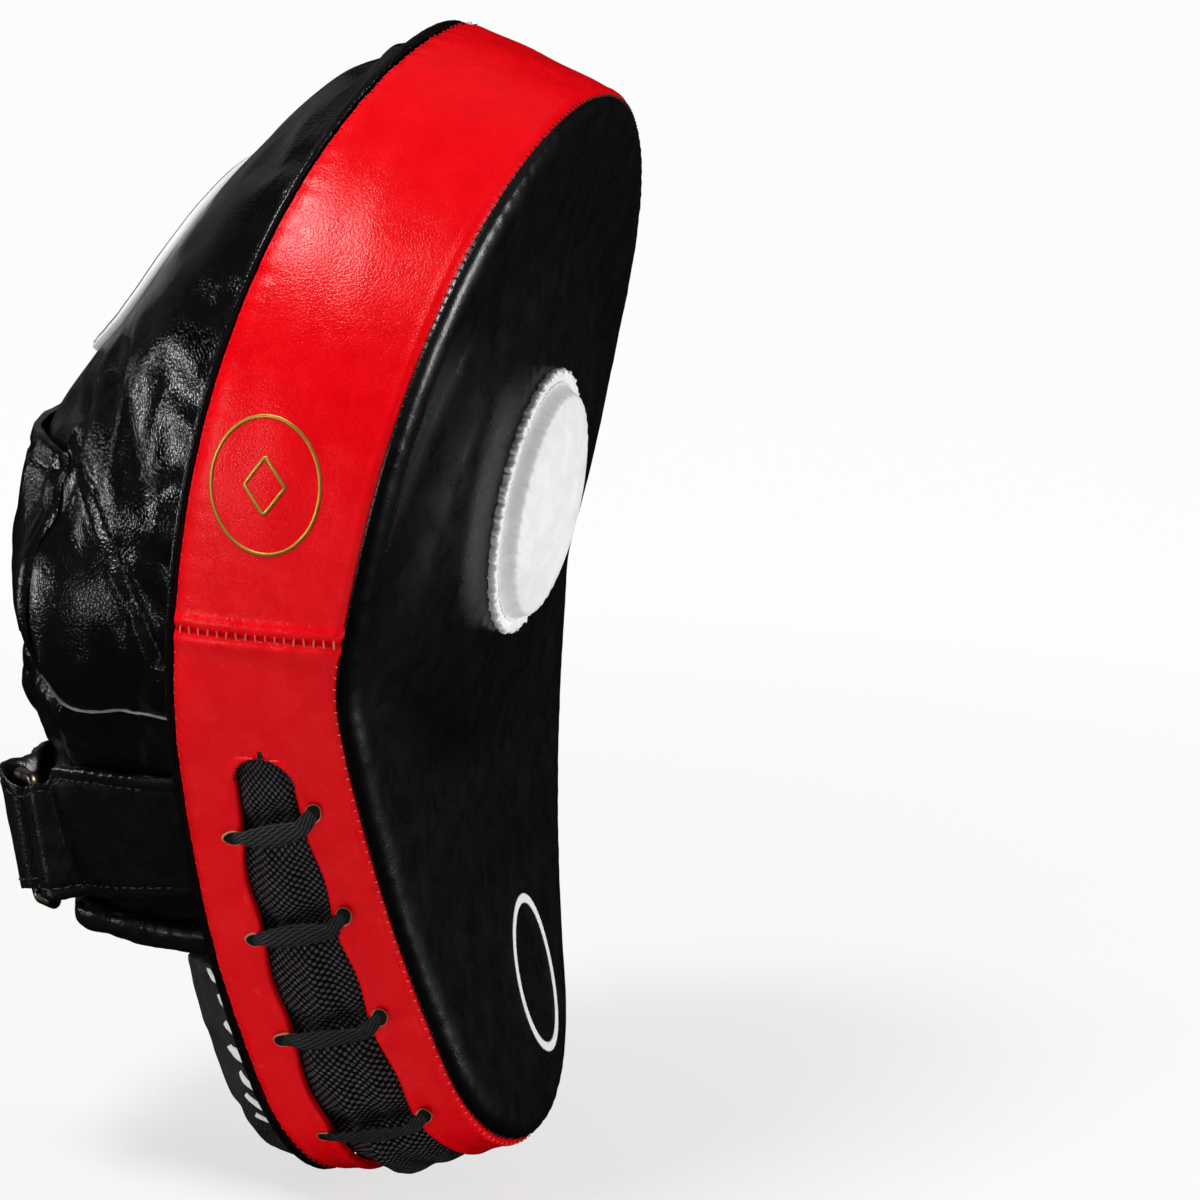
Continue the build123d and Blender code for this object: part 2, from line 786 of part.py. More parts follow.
def make_hook_patch():
    start = roll_axis + along_strap * patch_start
    sheet = strap_sheet(hook_low, hook_low + pile)
    return sheet & side_of_ring(start, 1) & reach_of(patch_reach_x)


def make_strap_tail():
    start = roll_axis + along_strap * (roll_radius + gap)
    sheet = strap_sheet(tail_low, tail_low + strap_thickness) & side_of_ring(start, 1)
    return sheet & reach_of(tail_reach_x)


# ------------------------------------------------------------------ write the parts
def main():
    os.makedirs("parts", exist_ok=True)
    lace_left, lace_right = make_laces()
    badge, edging = make_badge()
    parts = {
        "face_leather": make_face_leather(),
        "target_leather": make_target_leather(),
        "target_foam": make_target_foam(),
        "strike_foam": make_strike_foam(),
        "core_foam": make_core_foam(),
        "back_board": make_back_board(),
        "back_leather": make_back_leather(),
        "back_welt": make_back_welt(),
        "gusset_upper": make_gusset_upper(),
        "gusset_lower": make_gusset_lower(),
        "vent_mesh": make_vent_mesh(),
        "lace_thumb_side": lace_left,
        "lace_far_side": lace_right,
        "hood_shell": make_hood_shell(),
        "hood_foam": make_hood_foam(),
        "hood_lining": make_hood_lining(),
        "hand_shell": make_hand_shell(),
        "cuff_shell": make_cuff_shell(),
        "cuff_foam": make_cuff_foam(),
        "cuff_lining": make_cuff_lining(),
        "cuff_hem": make_cuff_hem(),
        "knuckle_flap": make_knuckle_flap(),
        "hood_badge": badge,
        "badge_edging": edging,
        "thumb_pouch": make_thumb_pouch(),
        "palm_lining": make_palm_lining(),
        "palm_ball": make_palm_ball(),
        "heel_panel": make_heel_panel(),
        "heel_foam": make_heel_foam(),
        "ring_tab": make_ring_tab(),
        "strap_ring": make_ring(),
        "wrist_strap": make_wrist_strap(),
        "loop_patch": make_loop_patch(),
        "hook_patch": make_hook_patch(),
        "strap_tail": make_strap_tail(),
    }
    for name, part in parts.items():
        export_step(part, f"parts/{name}.step")
    print("bar direction", bar_direction, "tab axis", tab_axis, "roll axis", roll_axis)


main()
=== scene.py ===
import math
from functools import partial

import bpy
import numpy as np
from mathutils import Matrix, Vector
from mathutils.bvhtree import BVHTree
from mathutils.kdtree import KDTree


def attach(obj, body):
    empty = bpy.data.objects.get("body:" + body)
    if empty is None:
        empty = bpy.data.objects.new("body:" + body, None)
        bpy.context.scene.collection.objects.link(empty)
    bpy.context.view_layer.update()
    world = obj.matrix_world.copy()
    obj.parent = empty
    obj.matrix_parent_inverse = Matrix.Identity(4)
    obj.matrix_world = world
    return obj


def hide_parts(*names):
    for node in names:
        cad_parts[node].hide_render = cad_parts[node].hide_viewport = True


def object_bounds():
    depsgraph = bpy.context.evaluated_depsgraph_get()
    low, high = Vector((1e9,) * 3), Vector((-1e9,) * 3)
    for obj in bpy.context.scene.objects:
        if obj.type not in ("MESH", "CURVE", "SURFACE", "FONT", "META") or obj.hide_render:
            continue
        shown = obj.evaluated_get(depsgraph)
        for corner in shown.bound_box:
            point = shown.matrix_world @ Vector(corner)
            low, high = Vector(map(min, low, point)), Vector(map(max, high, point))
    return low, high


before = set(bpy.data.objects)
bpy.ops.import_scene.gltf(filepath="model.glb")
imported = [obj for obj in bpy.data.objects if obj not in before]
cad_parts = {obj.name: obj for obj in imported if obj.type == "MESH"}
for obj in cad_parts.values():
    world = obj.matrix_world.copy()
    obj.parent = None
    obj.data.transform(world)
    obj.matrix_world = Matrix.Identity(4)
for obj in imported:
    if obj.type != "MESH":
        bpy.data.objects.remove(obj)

cad_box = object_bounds()
MM = 0.001
TURN = 2 * math.pi

# ------------------------------------------------------------------ the pad's own curves, in millimetres
FAN_D = 420.0
FAN_Z = -22.0
FACE_WAIST_Z = 6.2
BACK_WAIST_Z = -19.0
BACK_Y0 = -1.9117
FACE_Y0 = -45.6617
AXIS_Y = FACE_Y0 - FAN_D
SEAM_Z = 22.3
SLOT_TOP = -9.0
BAND_FRONT = 1.5               # the band's front edge lies this far behind the face
BAND_BACK = 0.3                # and its back edge this far ahead of the back
SLOT_FRONT = 15.8              # the slot's edges, from the face and from the back
SLOT_BACK = 14.85
FACE_BEND = 50.0               # the face is bent to this radius at its waist, then runs on in two arcs
FACE_ARCS = ((1, 11.0, 1640.0), (-1, 4.2, 532.0))
BACK_ARCS = (465.0, 367.0)
FACE_MIDDLE_Z = 8.0            # the rings of the face and of the back close in on this height
ARCS = ((107.6, 0.0, 37.5), (98.0, 37.5, 85.0), (153.5, 85.0, 115.0), (55.5, 115.0, 180.0))
CROWN_TOP = 156.7
LACE_PITCH = 28.2
MESH_LAP = 2.4                 # the mesh goes on this far under the slot's edge
MARK_LIFT = 0.12               # a printed mark lies this far off the leather
CLOTH_STIFFNESS = 12.0
CLOTH_BENDING = 0.4


def run_along(points):
    """Distance along a run of points, from its start."""
    return np.concatenate([[0], np.cumsum(np.linalg.norm(np.diff(points, axis=0), axis=1))])


def units(vectors):
    """Vectors brought to length 1."""
    return vectors / np.linalg.norm(vectors, axis=-1, keepdims=True)


def circle_angles(count):
    """Angles once round a circle."""
    return np.linspace(0, TURN, count, endpoint=False)


def once_round(count):
    """Outline shares once round the pad."""
    return np.linspace(0, 1, count, endpoint=False)


def sheet(a, b):
    """A place on a flat sheet, for relief that follows a seam or an edge."""
    return np.stack([a, b, 0 * a], -1)


def gauss(value, width):
    return np.exp(-(value / width)**2)


def heading(degrees):
    angle = np.radians(degrees)
    return np.array([np.sin(angle), np.cos(angle)])


def outline_table():
    """Points and normals of the outline's right half, crown to tip, by arc length."""
    centre = np.array([0.0, CROWN_TOP - ARCS[0][0]])
    points, normals = [], []
    last_radius = ARCS[0][0]
    for index, (radius, start, end) in enumerate(ARCS[:3]):
        if index:
            centre = centre + heading(start) * (last_radius - radius)
        for degrees in np.linspace(start, end, 60):
            points.append(centre + heading(degrees) * radius)
            normals.append(heading(degrees))
        last_radius = radius
    radius, start, end = ARCS[3]
    normal = heading(start)
    tip = np.array([0.0, (points[-1] @ normal - radius) / normal[1]])
    for degrees in np.linspace(start, end, 60):
        points.append(tip + heading(degrees) * radius)
        normals.append(heading(degrees))
    points, normals = np.array(points), np.array(normals)
    run = run_along(points)
    return points, normals, run / run[-1], run[-1]


OUT_P, OUT_N, OUT_S, HALF_LENGTH = outline_table()


def outline(u, inset=0.0):
    """x, z0 and the outward normal at u: 0 at the crown, 0.25 on the +X side, 0.5 at the tip."""
    u = np.mod(np.asarray(u, float), 1.0)
    side = np.where(u <= 0.5, 1.0, -1.0)
    share = np.where(u <= 0.5, u, 1.0 - u) * 2
    x, z = (np.interp(share, OUT_S, OUT_P[:, i]) for i in (0, 1))
    nx, nz = (np.interp(share, OUT_S, OUT_N[:, i]) for i in (0, 1))
    return side * (x - nx * inset), z - nz * inset, side * nx, nz


def fan(z0, y):
    return FAN_Z + (z0 - FAN_Z) * (y - AXIS_Y) / FAN_D


def unfan(z, y):
    return FAN_Z + (z - FAN_Z) * FAN_D / (y - AXIS_Y)


def face_y(z):
    z = np.asarray(z, float)
    y = np.zeros_like(z)
    bend = FACE_Y0 - FACE_BEND + np.sqrt(np.maximum(FACE_BEND**2 - (z - FACE_WAIST_Z)**2, 1.0))
    for sign, lean, radius in FACE_ARCS:
        a = math.radians(lean)
        cy = FACE_Y0 - FACE_BEND * (1 - math.cos(a)) - radius * math.cos(a)
        cz = FACE_WAIST_Z + sign * (FACE_BEND - radius) * math.sin(a)
        run = cy + np.sqrt(np.maximum(radius**2 - (z - cz)**2, 1.0))
        near = np.abs(z - FACE_WAIST_Z) < FACE_BEND * math.sin(a)
        y = np.where((z - FACE_WAIST_Z) * sign >= 0, np.where(near, bend, run), y)
    return y


def back_y(z):
    z = np.asarray(z, float)
    radius = np.where(z > BACK_WAIST_Z, *BACK_ARCS)
    return BACK_Y0 - radius + np.sqrt(np.maximum(radius**2 - (z - BACK_WAIST_Z)**2, 1.0))


def outline_at(z, y, values):
    """One of the outline's tables, read at height z and depth y."""
    order = np.argsort(OUT_P[:, 1])
    return np.interp(unfan(z, y), OUT_P[order, 1], values[order])


def pad_half(z, y):
    """Half the pad's width at height z and depth y."""
    return outline_at(z, y, OUT_P[:, 0])


def meet(u, curve, offset=0.0, inset=0.0):
    """Where the outline's line at u meets a lengthwise curve: x, y, z."""
    x, z0, _, _ = outline(u, inset)
    y = np.full(np.shape(x), FACE_Y0)
    for _ in range(8):
        y = curve(fan(z0, y)) + offset
    return np.stack([x, y, fan(z0, y)], -1)


def relax(rows, rounds):
    """Evens rows out in place, with the first and the last held."""
    for _ in range(rounds):
        rows[1:-1] = 0.25 * rows[:-2] + 0.5 * rows[1:-1] + 0.25 * rows[2:]
    return rows


def smooth(low, high, value):
    t = np.clip((np.asarray(value, float) - low) / (high - low), 0, 1)
    return t * t * (3 - 2 * t)


def waves(p, size, seed=0.0):
    """Soft random relief from -1 to 1 whose features are about size millimetres across."""
    q = np.asarray(p, float) / size
    total = np.zeros(q.shape[:-1])
    for k in range(1, 6):
        a = seed * 1.7 + k * 2.399
        direction = np.array([math.cos(a), math.sin(a * 1.31), math.cos(a * 0.71 + 1.0)])
        direction /= np.linalg.norm(direction)
        total += np.sin(q @ direction * (2.2 + 0.9 * k) + 5.1 * k + seed * 3.3
                        + 0.8 * np.sin(q @ direction[::-1] * 1.7 + seed + k))
    return total / 5


# ------------------------------------------------------------------ mesh helpers
def new_object(name, data):
    obj = bpy.data.objects.new(name, data)
    bpy.context.scene.collection.objects.link(obj)
    return obj


def mesh_object(name, vertices, faces, material, uv=None):
    mesh = bpy.data.meshes.new(name)
    mesh.from_pydata([tuple(v) for v in np.asarray(vertices) * MM], [], faces)
    if uv is not None:
        layer = mesh.uv_layers.new(name="UVMap")
        index = np.zeros(len(mesh.loops), int)
        mesh.loops.foreach_get("vertex_index", index)
        layer.data.foreach_set("uv", np.asarray(uv, np.float32)[index].ravel())
    mesh.shade_smooth()
    mesh.materials.append(material)
    return new_object(name, mesh)


def grid_faces(nu, nv, close_u=False, close_v=False, flip=False):
    i, j = np.meshgrid(np.arange(nu if close_u else nu - 1), np.arange(nv if close_v else nv - 1),
                       indexing="ij")
    i, j = i.ravel(), j.ravel()
    i2, j2 = (i + 1) % nu, (j + 1) % nv
    quads = np.stack([i * nv + j, i2 * nv + j, i2 * nv + j2, i * nv + j2], -1)
    return (quads[:, ::-1] if flip else quads).tolist()


def grid(name, p, material, close_u=False, close_v=False, flip=False):
    """A mesh over a grid of points, with UVs in millimetres along its two ways."""
    nu, nv = p.shape[:2]
    du = np.linalg.norm(np.diff(p, axis=0), axis=2)
    dv = np.linalg.norm(np.diff(p, axis=1), axis=2)
    along = np.zeros((nu, nv))
    along[1:] = np.cumsum(np.repeat(du.mean(axis=1, keepdims=True), nv, 1), axis=0)
    across = np.zeros((nu, nv))
    across[:, 1:] = np.cumsum(np.repeat(dv.mean(axis=0, keepdims=True), nu, 0), axis=1)
    uv = np.stack([along.ravel(), across.ravel()], -1)
    return mesh_object(name, p.reshape(-1, 3), grid_faces(nu, nv, close_u, close_v, flip), material, uv)


def coordinates(obj):
    co = np.zeros(len(obj.data.vertices) * 3)
    obj.data.vertices.foreach_get("co", co)
    return co.reshape(-1, 3) / MM


def set_coordinates(obj, co):
    obj.data.vertices.foreach_set("co", (np.asarray(co) * MM).ravel())
    obj.data.update()


def normals_of(obj):
    n = np.zeros(len(obj.data.vertices) * 3)
    obj.data.vertex_normals.foreach_get("vector", n)
    return n.reshape(-1, 3)


def push_out(obj, height):
    """Moves each vertex along its normal."""
    set_coordinates(obj, coordinates(obj) + normals_of(obj) * height[:, None])
    return obj


def outward(obj, middle=(0.0, -20.0, 10.0)):
    """Faces turned so that they point away from a middle."""
    if ((coordinates(obj) - middle) * normals_of(obj)).sum() < 0:
        obj.data.flip_normals()
    return obj


def apply_modifiers(obj):
    evaluated = obj.evaluated_get(bpy.context.evaluated_depsgraph_get())
    mesh = bpy.data.meshes.new_from_object(evaluated)
    old = obj.data
    obj.modifiers.clear()
    obj.data = mesh
    bpy.data.meshes.remove(old)
    obj.data.shade_smooth()
    return obj


def modify(obj, kind, **values):
    modifier = obj.modifiers.new(kind, kind)
    for key, value in values.items():
        setattr(modifier, key, value)
    return apply_modifiers(obj)


def weld(obj, distance=0.05):
    return modify(obj, "WELD", merge_threshold=distance * MM)


def subdivide(obj, levels=1):
    return modify(obj, "SUBSURF", levels=levels, render_levels=levels)


def join(name, objects):
    """One object from several, kept at the origin."""
    bpy.ops.object.select_all(action="DESELECT")
    for obj in objects:
        obj.select_set(True)
    bpy.context.view_layer.objects.active = objects[0]
    bpy.ops.object.join()
    objects[0].name = name
    return objects[0]


def only_material(obj, material):
    obj.data.materials.clear()
    obj.data.materials.append(material)


def soften(node, name, material, voxel=1.0, rounds=4, relief=None):
    """A piece over a CAD node's own shape, with its edges rounded as leather's are."""
    obj = new_object(name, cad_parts[node].data.copy())
    modify(obj, "REMESH", mode="VOXEL", voxel_size=voxel * MM)
    only_material(obj, material)
    modify(obj, "SMOOTH", factor=0.5, iterations=rounds)
    if relief is not None:
        push_out(obj, relief(coordinates(obj)))
    return obj


def puff(obj, pinned, pressure=3.0, grow=0.02, cap=5.0, frames=20):
    """Cloth with pressure behind it, held at the pinned vertices; its result becomes the mesh."""
    rest = coordinates(obj)
    group = obj.vertex_groups.new(name="pinned")
    for index in np.flatnonzero(pinned > 0.01):
        group.add([int(index)], float(pinned[index]), "REPLACE")
    modifier = obj.modifiers.new("cloth", "CLOTH")
    settings = modifier.settings
    settings.vertex_group_mass = "pinned"
    settings.use_pressure = True
    settings.uniform_pressure_force = pressure
    settings.shrink_min = settings.shrink_max = -grow
    settings.tension_stiffness = settings.compression_stiffness = CLOTH_STIFFNESS
    settings.bending_stiffness = CLOTH_BENDING
    settings.quality = 6
    settings.effector_weights.gravity = 0.0
    modifier.collision_settings.use_collision = False
    modifier.point_cache.frame_start = 1
    modifier.point_cache.frame_end = frames
    for number in range(1, frames + 1):
        bpy.context.scene.frame_set(number)
    evaluated = obj.evaluated_get(bpy.context.evaluated_depsgraph_get())
    moved = np.zeros(len(rest) * 3)
    evaluated.data.vertices.foreach_get("co", moved)
    moved = moved.reshape(-1, 3) / MM
    obj.modifiers.clear()
    obj.vertex_groups.clear()
    step = moved - rest
    length = np.linalg.norm(step, axis=1, keepdims=True)
    limited = cap * np.tanh(length / cap)
    set_coordinates(obj, rest + step / np.maximum(length, 1e-9) * limited)
    bpy.context.scene.frame_set(1)
    return obj


def pinned_rim(shape, first=1):
    """Which points of a grid a cloth is held at: two columns each side, its first rows and the last two."""
    pinned = np.zeros(shape)
    pinned[:, :2] = pinned[:, -2:] = 1.0
    pinned[:first] = pinned[-2:] = 1.0
    return pinned


def tree_of(obj):
    depsgraph = bpy.context.evaluated_depsgraph_get()
    return BVHTree.FromObject(obj, depsgraph)


def drop(tree, points, direction=None, lift=0.0):
    """Points moved to the nearest place on a surface, or along direction onto it, and its normals."""
    found, normals = [], []
    for point in points:
        at, place = Vector(point) * MM, None
        if direction is not None:
            way = Vector(direction)
            place, normal, _, _ = tree.ray_cast(at - way * 0.06, way, 0.2)
        if place is None:
            place, normal, _, _ = tree.find_nearest(at)
        found.append(np.array(place) / MM + np.array(normal) * lift)
        normals.append(np.array(normal))
    return np.array(found), np.array(normals)


def resample(points, pitch, closed=False):
    p = np.asarray(points, float)
    if closed:
        p = np.vstack([p, p[:1]])
    run = run_along(p)
    count = max(2, int(round(run[-1] / pitch)) + (0 if closed else 1))
    at = np.linspace(0, run[-1], count, endpoint=not closed)
    return np.stack([np.interp(at, run, p[:, k]) for k in range(3)], -1)


def curve_through(points, count=200):
    """A smooth run of points through a few given ones."""
    p = np.asarray(points, float)
    spans = len(p) - 1
    out = []
    for i in range(spans):
        p0, p1, p2, p3 = p[max(i - 1, 0)], p[i], p[i + 1], p[min(i + 2, spans)]
        for t in np.linspace(0, 1, max(4, count // spans), endpoint=False):
            out.append(0.5 * (2 * p1 + (p2 - p0) * t + (2 * p0 - 5 * p1 + 4 * p2 - p3) * t**2
                              + (3 * p1 - p0 - 3 * p2 + p3) * t**3))
    return np.array(out + [p[-1]])


def oval(centre, right, up, wide, tall, count=90):
    a = circle_angles(count)
    return (np.asarray(centre, float) + np.asarray(right)[None] * (wide * np.cos(a))[:, None]
            + np.asarray(up)[None] * (tall * np.sin(a))[:, None])


def tube(name, points, up, width, height, material, closed=False, around=14, power=2.0):
    """A rounded band or cord along points; up gives its flat side's normal at each point."""
    p = np.asarray(points, float)
    up = np.broadcast_to(np.asarray(up, float), p.shape)
    if closed:
        tangent = np.roll(p, -1, 0) - np.roll(p, 1, 0)
    else:
        tangent = np.gradient(p, axis=0)
    tangent = units(tangent)
    side = units(np.cross(tangent, up))
    flat = np.cross(side, tangent)
    angle = circle_angles(around)
    c, s = np.cos(angle), np.sin(angle)
    c = np.sign(c) * np.abs(c)**(2 / power)
    s = np.sign(s) * np.abs(s)**(2 / power)
    width = np.broadcast_to(np.asarray(width, float), len(p))
    height = np.broadcast_to(np.asarray(height, float), len(p))
    rings = (p[:, None] + side[:, None] * (c[None, :, None] * width[:, None, None] / 2)
             + flat[:, None] * (s[None, :, None] * height[:, None, None] / 2))
    return grid(name, rings, material, close_u=closed, close_v=True)


# ------------------------------------------------------------------ stitches, by geometry nodes
def stitch_group():
    """Geometry nodes: one stitch on every point, turned by the point's "turn" attribute."""
    tree = bpy.data.node_groups.new("Stitches", "GeometryNodeTree")
    for label, way, kind in (("Geometry", "INPUT", "Geometry"), ("Stitch", "INPUT", "Object"),
                             ("Thread", "INPUT", "Material"), ("Geometry", "OUTPUT", "Geometry")):
        tree.interface.new_socket(label, in_out=way, socket_type="NodeSocket" + kind)
    source, info, turn, euler, place, real, paint, target = (tree.nodes.new(kind) for kind in (
        "NodeGroupInput", "GeometryNodeObjectInfo", "GeometryNodeInputNamedAttribute",
        "FunctionNodeEulerToRotation", "GeometryNodeInstanceOnPoints", "GeometryNodeRealizeInstances",
        "GeometryNodeSetMaterial", "NodeGroupOutput"))
    turn.data_type = "FLOAT_VECTOR"
    turn.inputs["Name"].default_value = "turn"
    for node, output, to_node, to_input in (
            (source, "Stitch", info, "Object"), (source, "Geometry", place, "Points"),
            (info, "Geometry", place, "Instance"), (turn, "Attribute", euler, 0),
            (euler, 0, place, "Rotation"), (place, "Instances", real, "Geometry"),
            (real, "Geometry", paint, "Geometry"), (source, "Thread", paint, "Material"),
            (paint, "Geometry", target, "Geometry")):
        tree.links.new(node.outputs[output], to_node.inputs[to_input])
    return tree


STITCHES = stitch_group()


def stitch_rows(name, rows, length, width, material, angle=0.0, sink=0.35):
    """Rows of stitches: each row is (points, normals); every stitch lies along its row, or across it."""
    around, along = 6, 7
    t = np.linspace(-1, 1, along)
    bow = (1 - t**2) * width * 0.45
    size = np.sqrt(np.clip(1 - (np.abs(t) * 0.98)**4, 0, 1)) * width / 2
    a = circle_angles(around)
    shape = np.stack([np.repeat(t[:, None], around, 1) * length / 2,
                      size[:, None] * np.cos(a)[None], bow[:, None] + size[:, None] * np.sin(a)[None]], -1)
    one = grid(name + "_one", shape, material, close_v=True)
    places, turns = [], []
    for points, normals in rows:
        p, n = np.asarray(points, float), np.asarray(normals, float)
        tangent = np.gradient(p, axis=0)
        for i in range(len(p)):
            up = Vector(n[i]).normalized()
            ahead = Vector(tangent[i])
            ahead = (ahead - up * ahead.dot(up)).normalized()
            sway = math.radians(angle + 7.0 * math.sin(i * 2.7))
            ahead = Matrix.Rotation(sway, 3, up) @ ahead
            side = up.cross(ahead)
            turns.append(tuple(Matrix((ahead, side, up)).transposed().to_euler()))
            places.append(p[i] - n[i] * sink * width)
    mesh = bpy.data.meshes.new(name)
    mesh.from_pydata([tuple(v) for v in np.array(places) * MM], [], [])
    attribute = mesh.attributes.new("turn", "FLOAT_VECTOR", "POINT")
    attribute.data.foreach_set("vector", np.array(turns, np.float32).ravel())
    obj = new_object(name, mesh)
    modifier = obj.modifiers.new("stitches", "NODES")
    modifier.node_group = STITCHES
    for item in STITCHES.interface.items_tree:
        if item.name in ("Stitch", "Thread"):
            modifier[item.identifier] = one if item.name == "Stitch" else material
    apply_modifiers(obj)
    bpy.data.objects.remove(one)
    return obj


def wear_piece(obj, body="mitt", nodes=()):
    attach(obj, body)
    if nodes:
        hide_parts(*nodes)
    return obj


# ------------------------------------------------------------------ shader groups
def shader_group(name, inputs, outputs):
    tree = bpy.data.node_groups.new(name, "ShaderNodeTree")
    for label, kind, value in inputs:
        socket = tree.interface.new_socket(label, in_out="INPUT", socket_type="NodeSocket" + kind)
        if value is not None:
            socket.default_value = value
    for label, kind in outputs:
        tree.interface.new_socket(label, in_out="OUTPUT", socket_type="NodeSocket" + kind)
    return tree, tree.nodes.new("NodeGroupInput"), tree.nodes.new("NodeGroupOutput")


def give(tree, target, **sockets):
    """Links a group's results to its outputs."""
    for label, socket in sockets.items():
        tree.links.new(socket, target.inputs[label])
    return tree


def math_node(tree, operation, a, b=None):
    node = tree.nodes.new("ShaderNodeMath")
    node.operation = operation
    for index, value in enumerate((a, b)):
        if isinstance(value, (int, float)):
            node.inputs[index].default_value = value
        elif value is not None:
            tree.links.new(value, node.inputs[index])
    return node.outputs[0]


def vector_node(tree, operation, a, b):
    node = tree.nodes.new("ShaderNodeVectorMath")
    node.operation = operation
    tree.links.new(a, node.inputs[0])
    if operation == "LENGTH":
        return node.outputs["Value"]
    if isinstance(b, tuple):
        node.inputs[1].default_value = b
    elif operation == "SCALE":
        tree.links.new(b, node.inputs["Scale"])
    else:
        tree.links.new(b, node.inputs[1])
    return node.outputs[0]


def texture(tree, kind, vector, scale, **values):
    node = tree.nodes.new("ShaderNodeTex" + kind)
    tree.links.new(vector, node.inputs["Vector"])
    if isinstance(scale, (int, float)):
        node.inputs["Scale"].default_value = scale
    else:
        tree.links.new(scale, node.inputs["Scale"])
    for key, value in values.items():
        if key in node.inputs:
            node.inputs[key].default_value = value
        else:
            setattr(node, key, value)
    return node


def map_range(tree, value, low, high, to_low=0.0, to_high=1.0):
    node = tree.nodes.new("ShaderNodeMapRange")
    tree.links.new(value, node.inputs["Value"])
    for index, number in enumerate((low, high, to_low, to_high)):
        node.inputs[index + 1].default_value = number
    return node.outputs[0]


def grain_group():
    """Leather: pebbles between creased valleys, a fine pore on them, and slow unevenness."""
    tree, source, target = shader_group(
        "LeatherGrain",
        [("Vector", "Vector", None), ("Cells", "Float", 900.0), ("Pebble", "Float", 1.0),
         ("Crease", "Float", 0.4)],
        [("Height", "Float"), ("Valley", "Float"), ("Uneven", "Float")])
    calc = partial(math_node, tree)
    vector, cells = source.outputs["Vector"], source.outputs["Cells"]
    slow = texture(tree, "Noise", vector, calc("MULTIPLY", cells, 0.3), Detail=2.0)
    shift = vector_node(tree, "SCALE", slow.outputs["Color"], calc("DIVIDE", 0.9, cells))
    bent = vector_node(tree, "ADD", vector, shift)
    pebble = texture(tree, "Voronoi", bent, cells, feature="SMOOTH_F1", Smoothness=0.35)
    edge = texture(tree, "Voronoi", bent, cells, feature="DISTANCE_TO_EDGE")
    valley = map_range(tree, edge.outputs["Distance"], 0.0, 0.16, 1.0, 0.0)
    pore = texture(tree, "Noise", vector, calc("MULTIPLY", cells, 2.6), Detail=3.0)
    fold = texture(tree, "Noise", bent, calc("MULTIPLY", cells, 0.11), Detail=4.0, Distortion=0.6)
    ridge = calc("ABSOLUTE", calc("SUBTRACT", fold.outputs["Fac"], 0.5))
    crease = map_range(tree, ridge, 0.0, 0.07, 0.0, 1.0)
    round_top = calc("SUBTRACT", 1.0, pebble.outputs["Distance"])
    cut = calc("SUBTRACT", round_top, calc("MULTIPLY", valley, 0.5))
    height = calc("MULTIPLY", cut, source.outputs["Pebble"])
    height = calc("ADD", height, calc("MULTIPLY", pore.outputs["Fac"], 0.25))
    height = calc("ADD", height, calc("MULTIPLY", crease, source.outputs["Crease"]))
    return give(tree, target, Height=height, Valley=valley, Uneven=fold.outputs["Fac"])


def thread_group(name, inputs, outputs):
    """The start of a group for cloth, with the length and the width way of its UVs."""
    tree, source, target = shader_group(name, [("Vector", "Vector", None)] + inputs,
                                        [(label, "Float") for label in outputs])
    split = tree.nodes.new("ShaderNodeSeparateXYZ")
    tree.links.new(source.outputs["Vector"], split.inputs[0])
    return tree, source.outputs, target, partial(math_node, tree), split.outputs[0], split.outputs[1]


def weave_group():
    """Cloth: two sets of threads that pass over each other."""
    tree, given, target, calc, along, across = thread_group(
        "Weave", [("Threads", "Float", 1.4)], ("Height", "Thread"))
    rate = calc("MULTIPLY", given["Threads"], math.pi)
    a = calc("SINE", calc("MULTIPLY", along, rate))
    b = calc("SINE", calc("MULTIPLY", across, rate))
    over = calc("ADD", calc("MULTIPLY", calc("MULTIPLY", a, b), 0.5), 0.5)
    thread = calc("POWER", over, 0.7)
    fuzz = texture(tree, "Noise", given["Vector"], 6.0, Detail=3.0)
    height = calc("ADD", thread, calc("MULTIPLY", fuzz.outputs["Fac"], 0.35))
    return give(tree, target, Height=height, Thread=thread)


def knit_group():
    """Open knit: rows of small round loops with holes between them."""
    tree, given, target, calc, along, across = thread_group(
        "Knit", [("Loops", "Float", 0.8)], ("Height", "Hole"))
    rate = calc("MULTIPLY", given["Loops"], math.tau)
    a = calc("COSINE", calc("MULTIPLY", along, rate))
    b = calc("COSINE", calc("MULTIPLY", across, rate))
    wobble = texture(tree, "Noise", given["Vector"], 0.35, Detail=2.0)
    uneven = calc("MULTIPLY", calc("SUBTRACT", wobble.outputs["Fac"], 0.5), 0.6)
    both = calc("ADD", calc("MULTIPLY", a, b), uneven)
    return give(tree, target, Height=map_range(tree, both, -0.4, 0.9),
                Hole=map_range(tree, both, 0.05, 0.45, 1.0, 0.0))


def braid_group():
    """Flat braid: slanted strands that meet in a line of chevrons."""
    tree, given, target, calc, along, across = thread_group(
        "Braid", [("Strands", "Float", 0.8), ("Half", "Float", 6.0)], ("Height",))
    middle = calc("SUBTRACT", across, given["Half"])
    slant = calc("ADD", calc("MULTIPLY", along, 0.35), calc("ABSOLUTE", middle))
    rate = calc("MULTIPLY", given["Strands"], math.tau)
    strand = calc("SINE", calc("MULTIPLY", slant, rate))
    fine = calc("SINE", calc("MULTIPLY", middle, 9.0))
    return give(tree, target, Height=calc("ADD", strand, calc("MULTIPLY", fine, 0.5)))


GRAIN, WEAVE, KNIT, BRAID = grain_group(), weave_group(), knit_group(), braid_group()


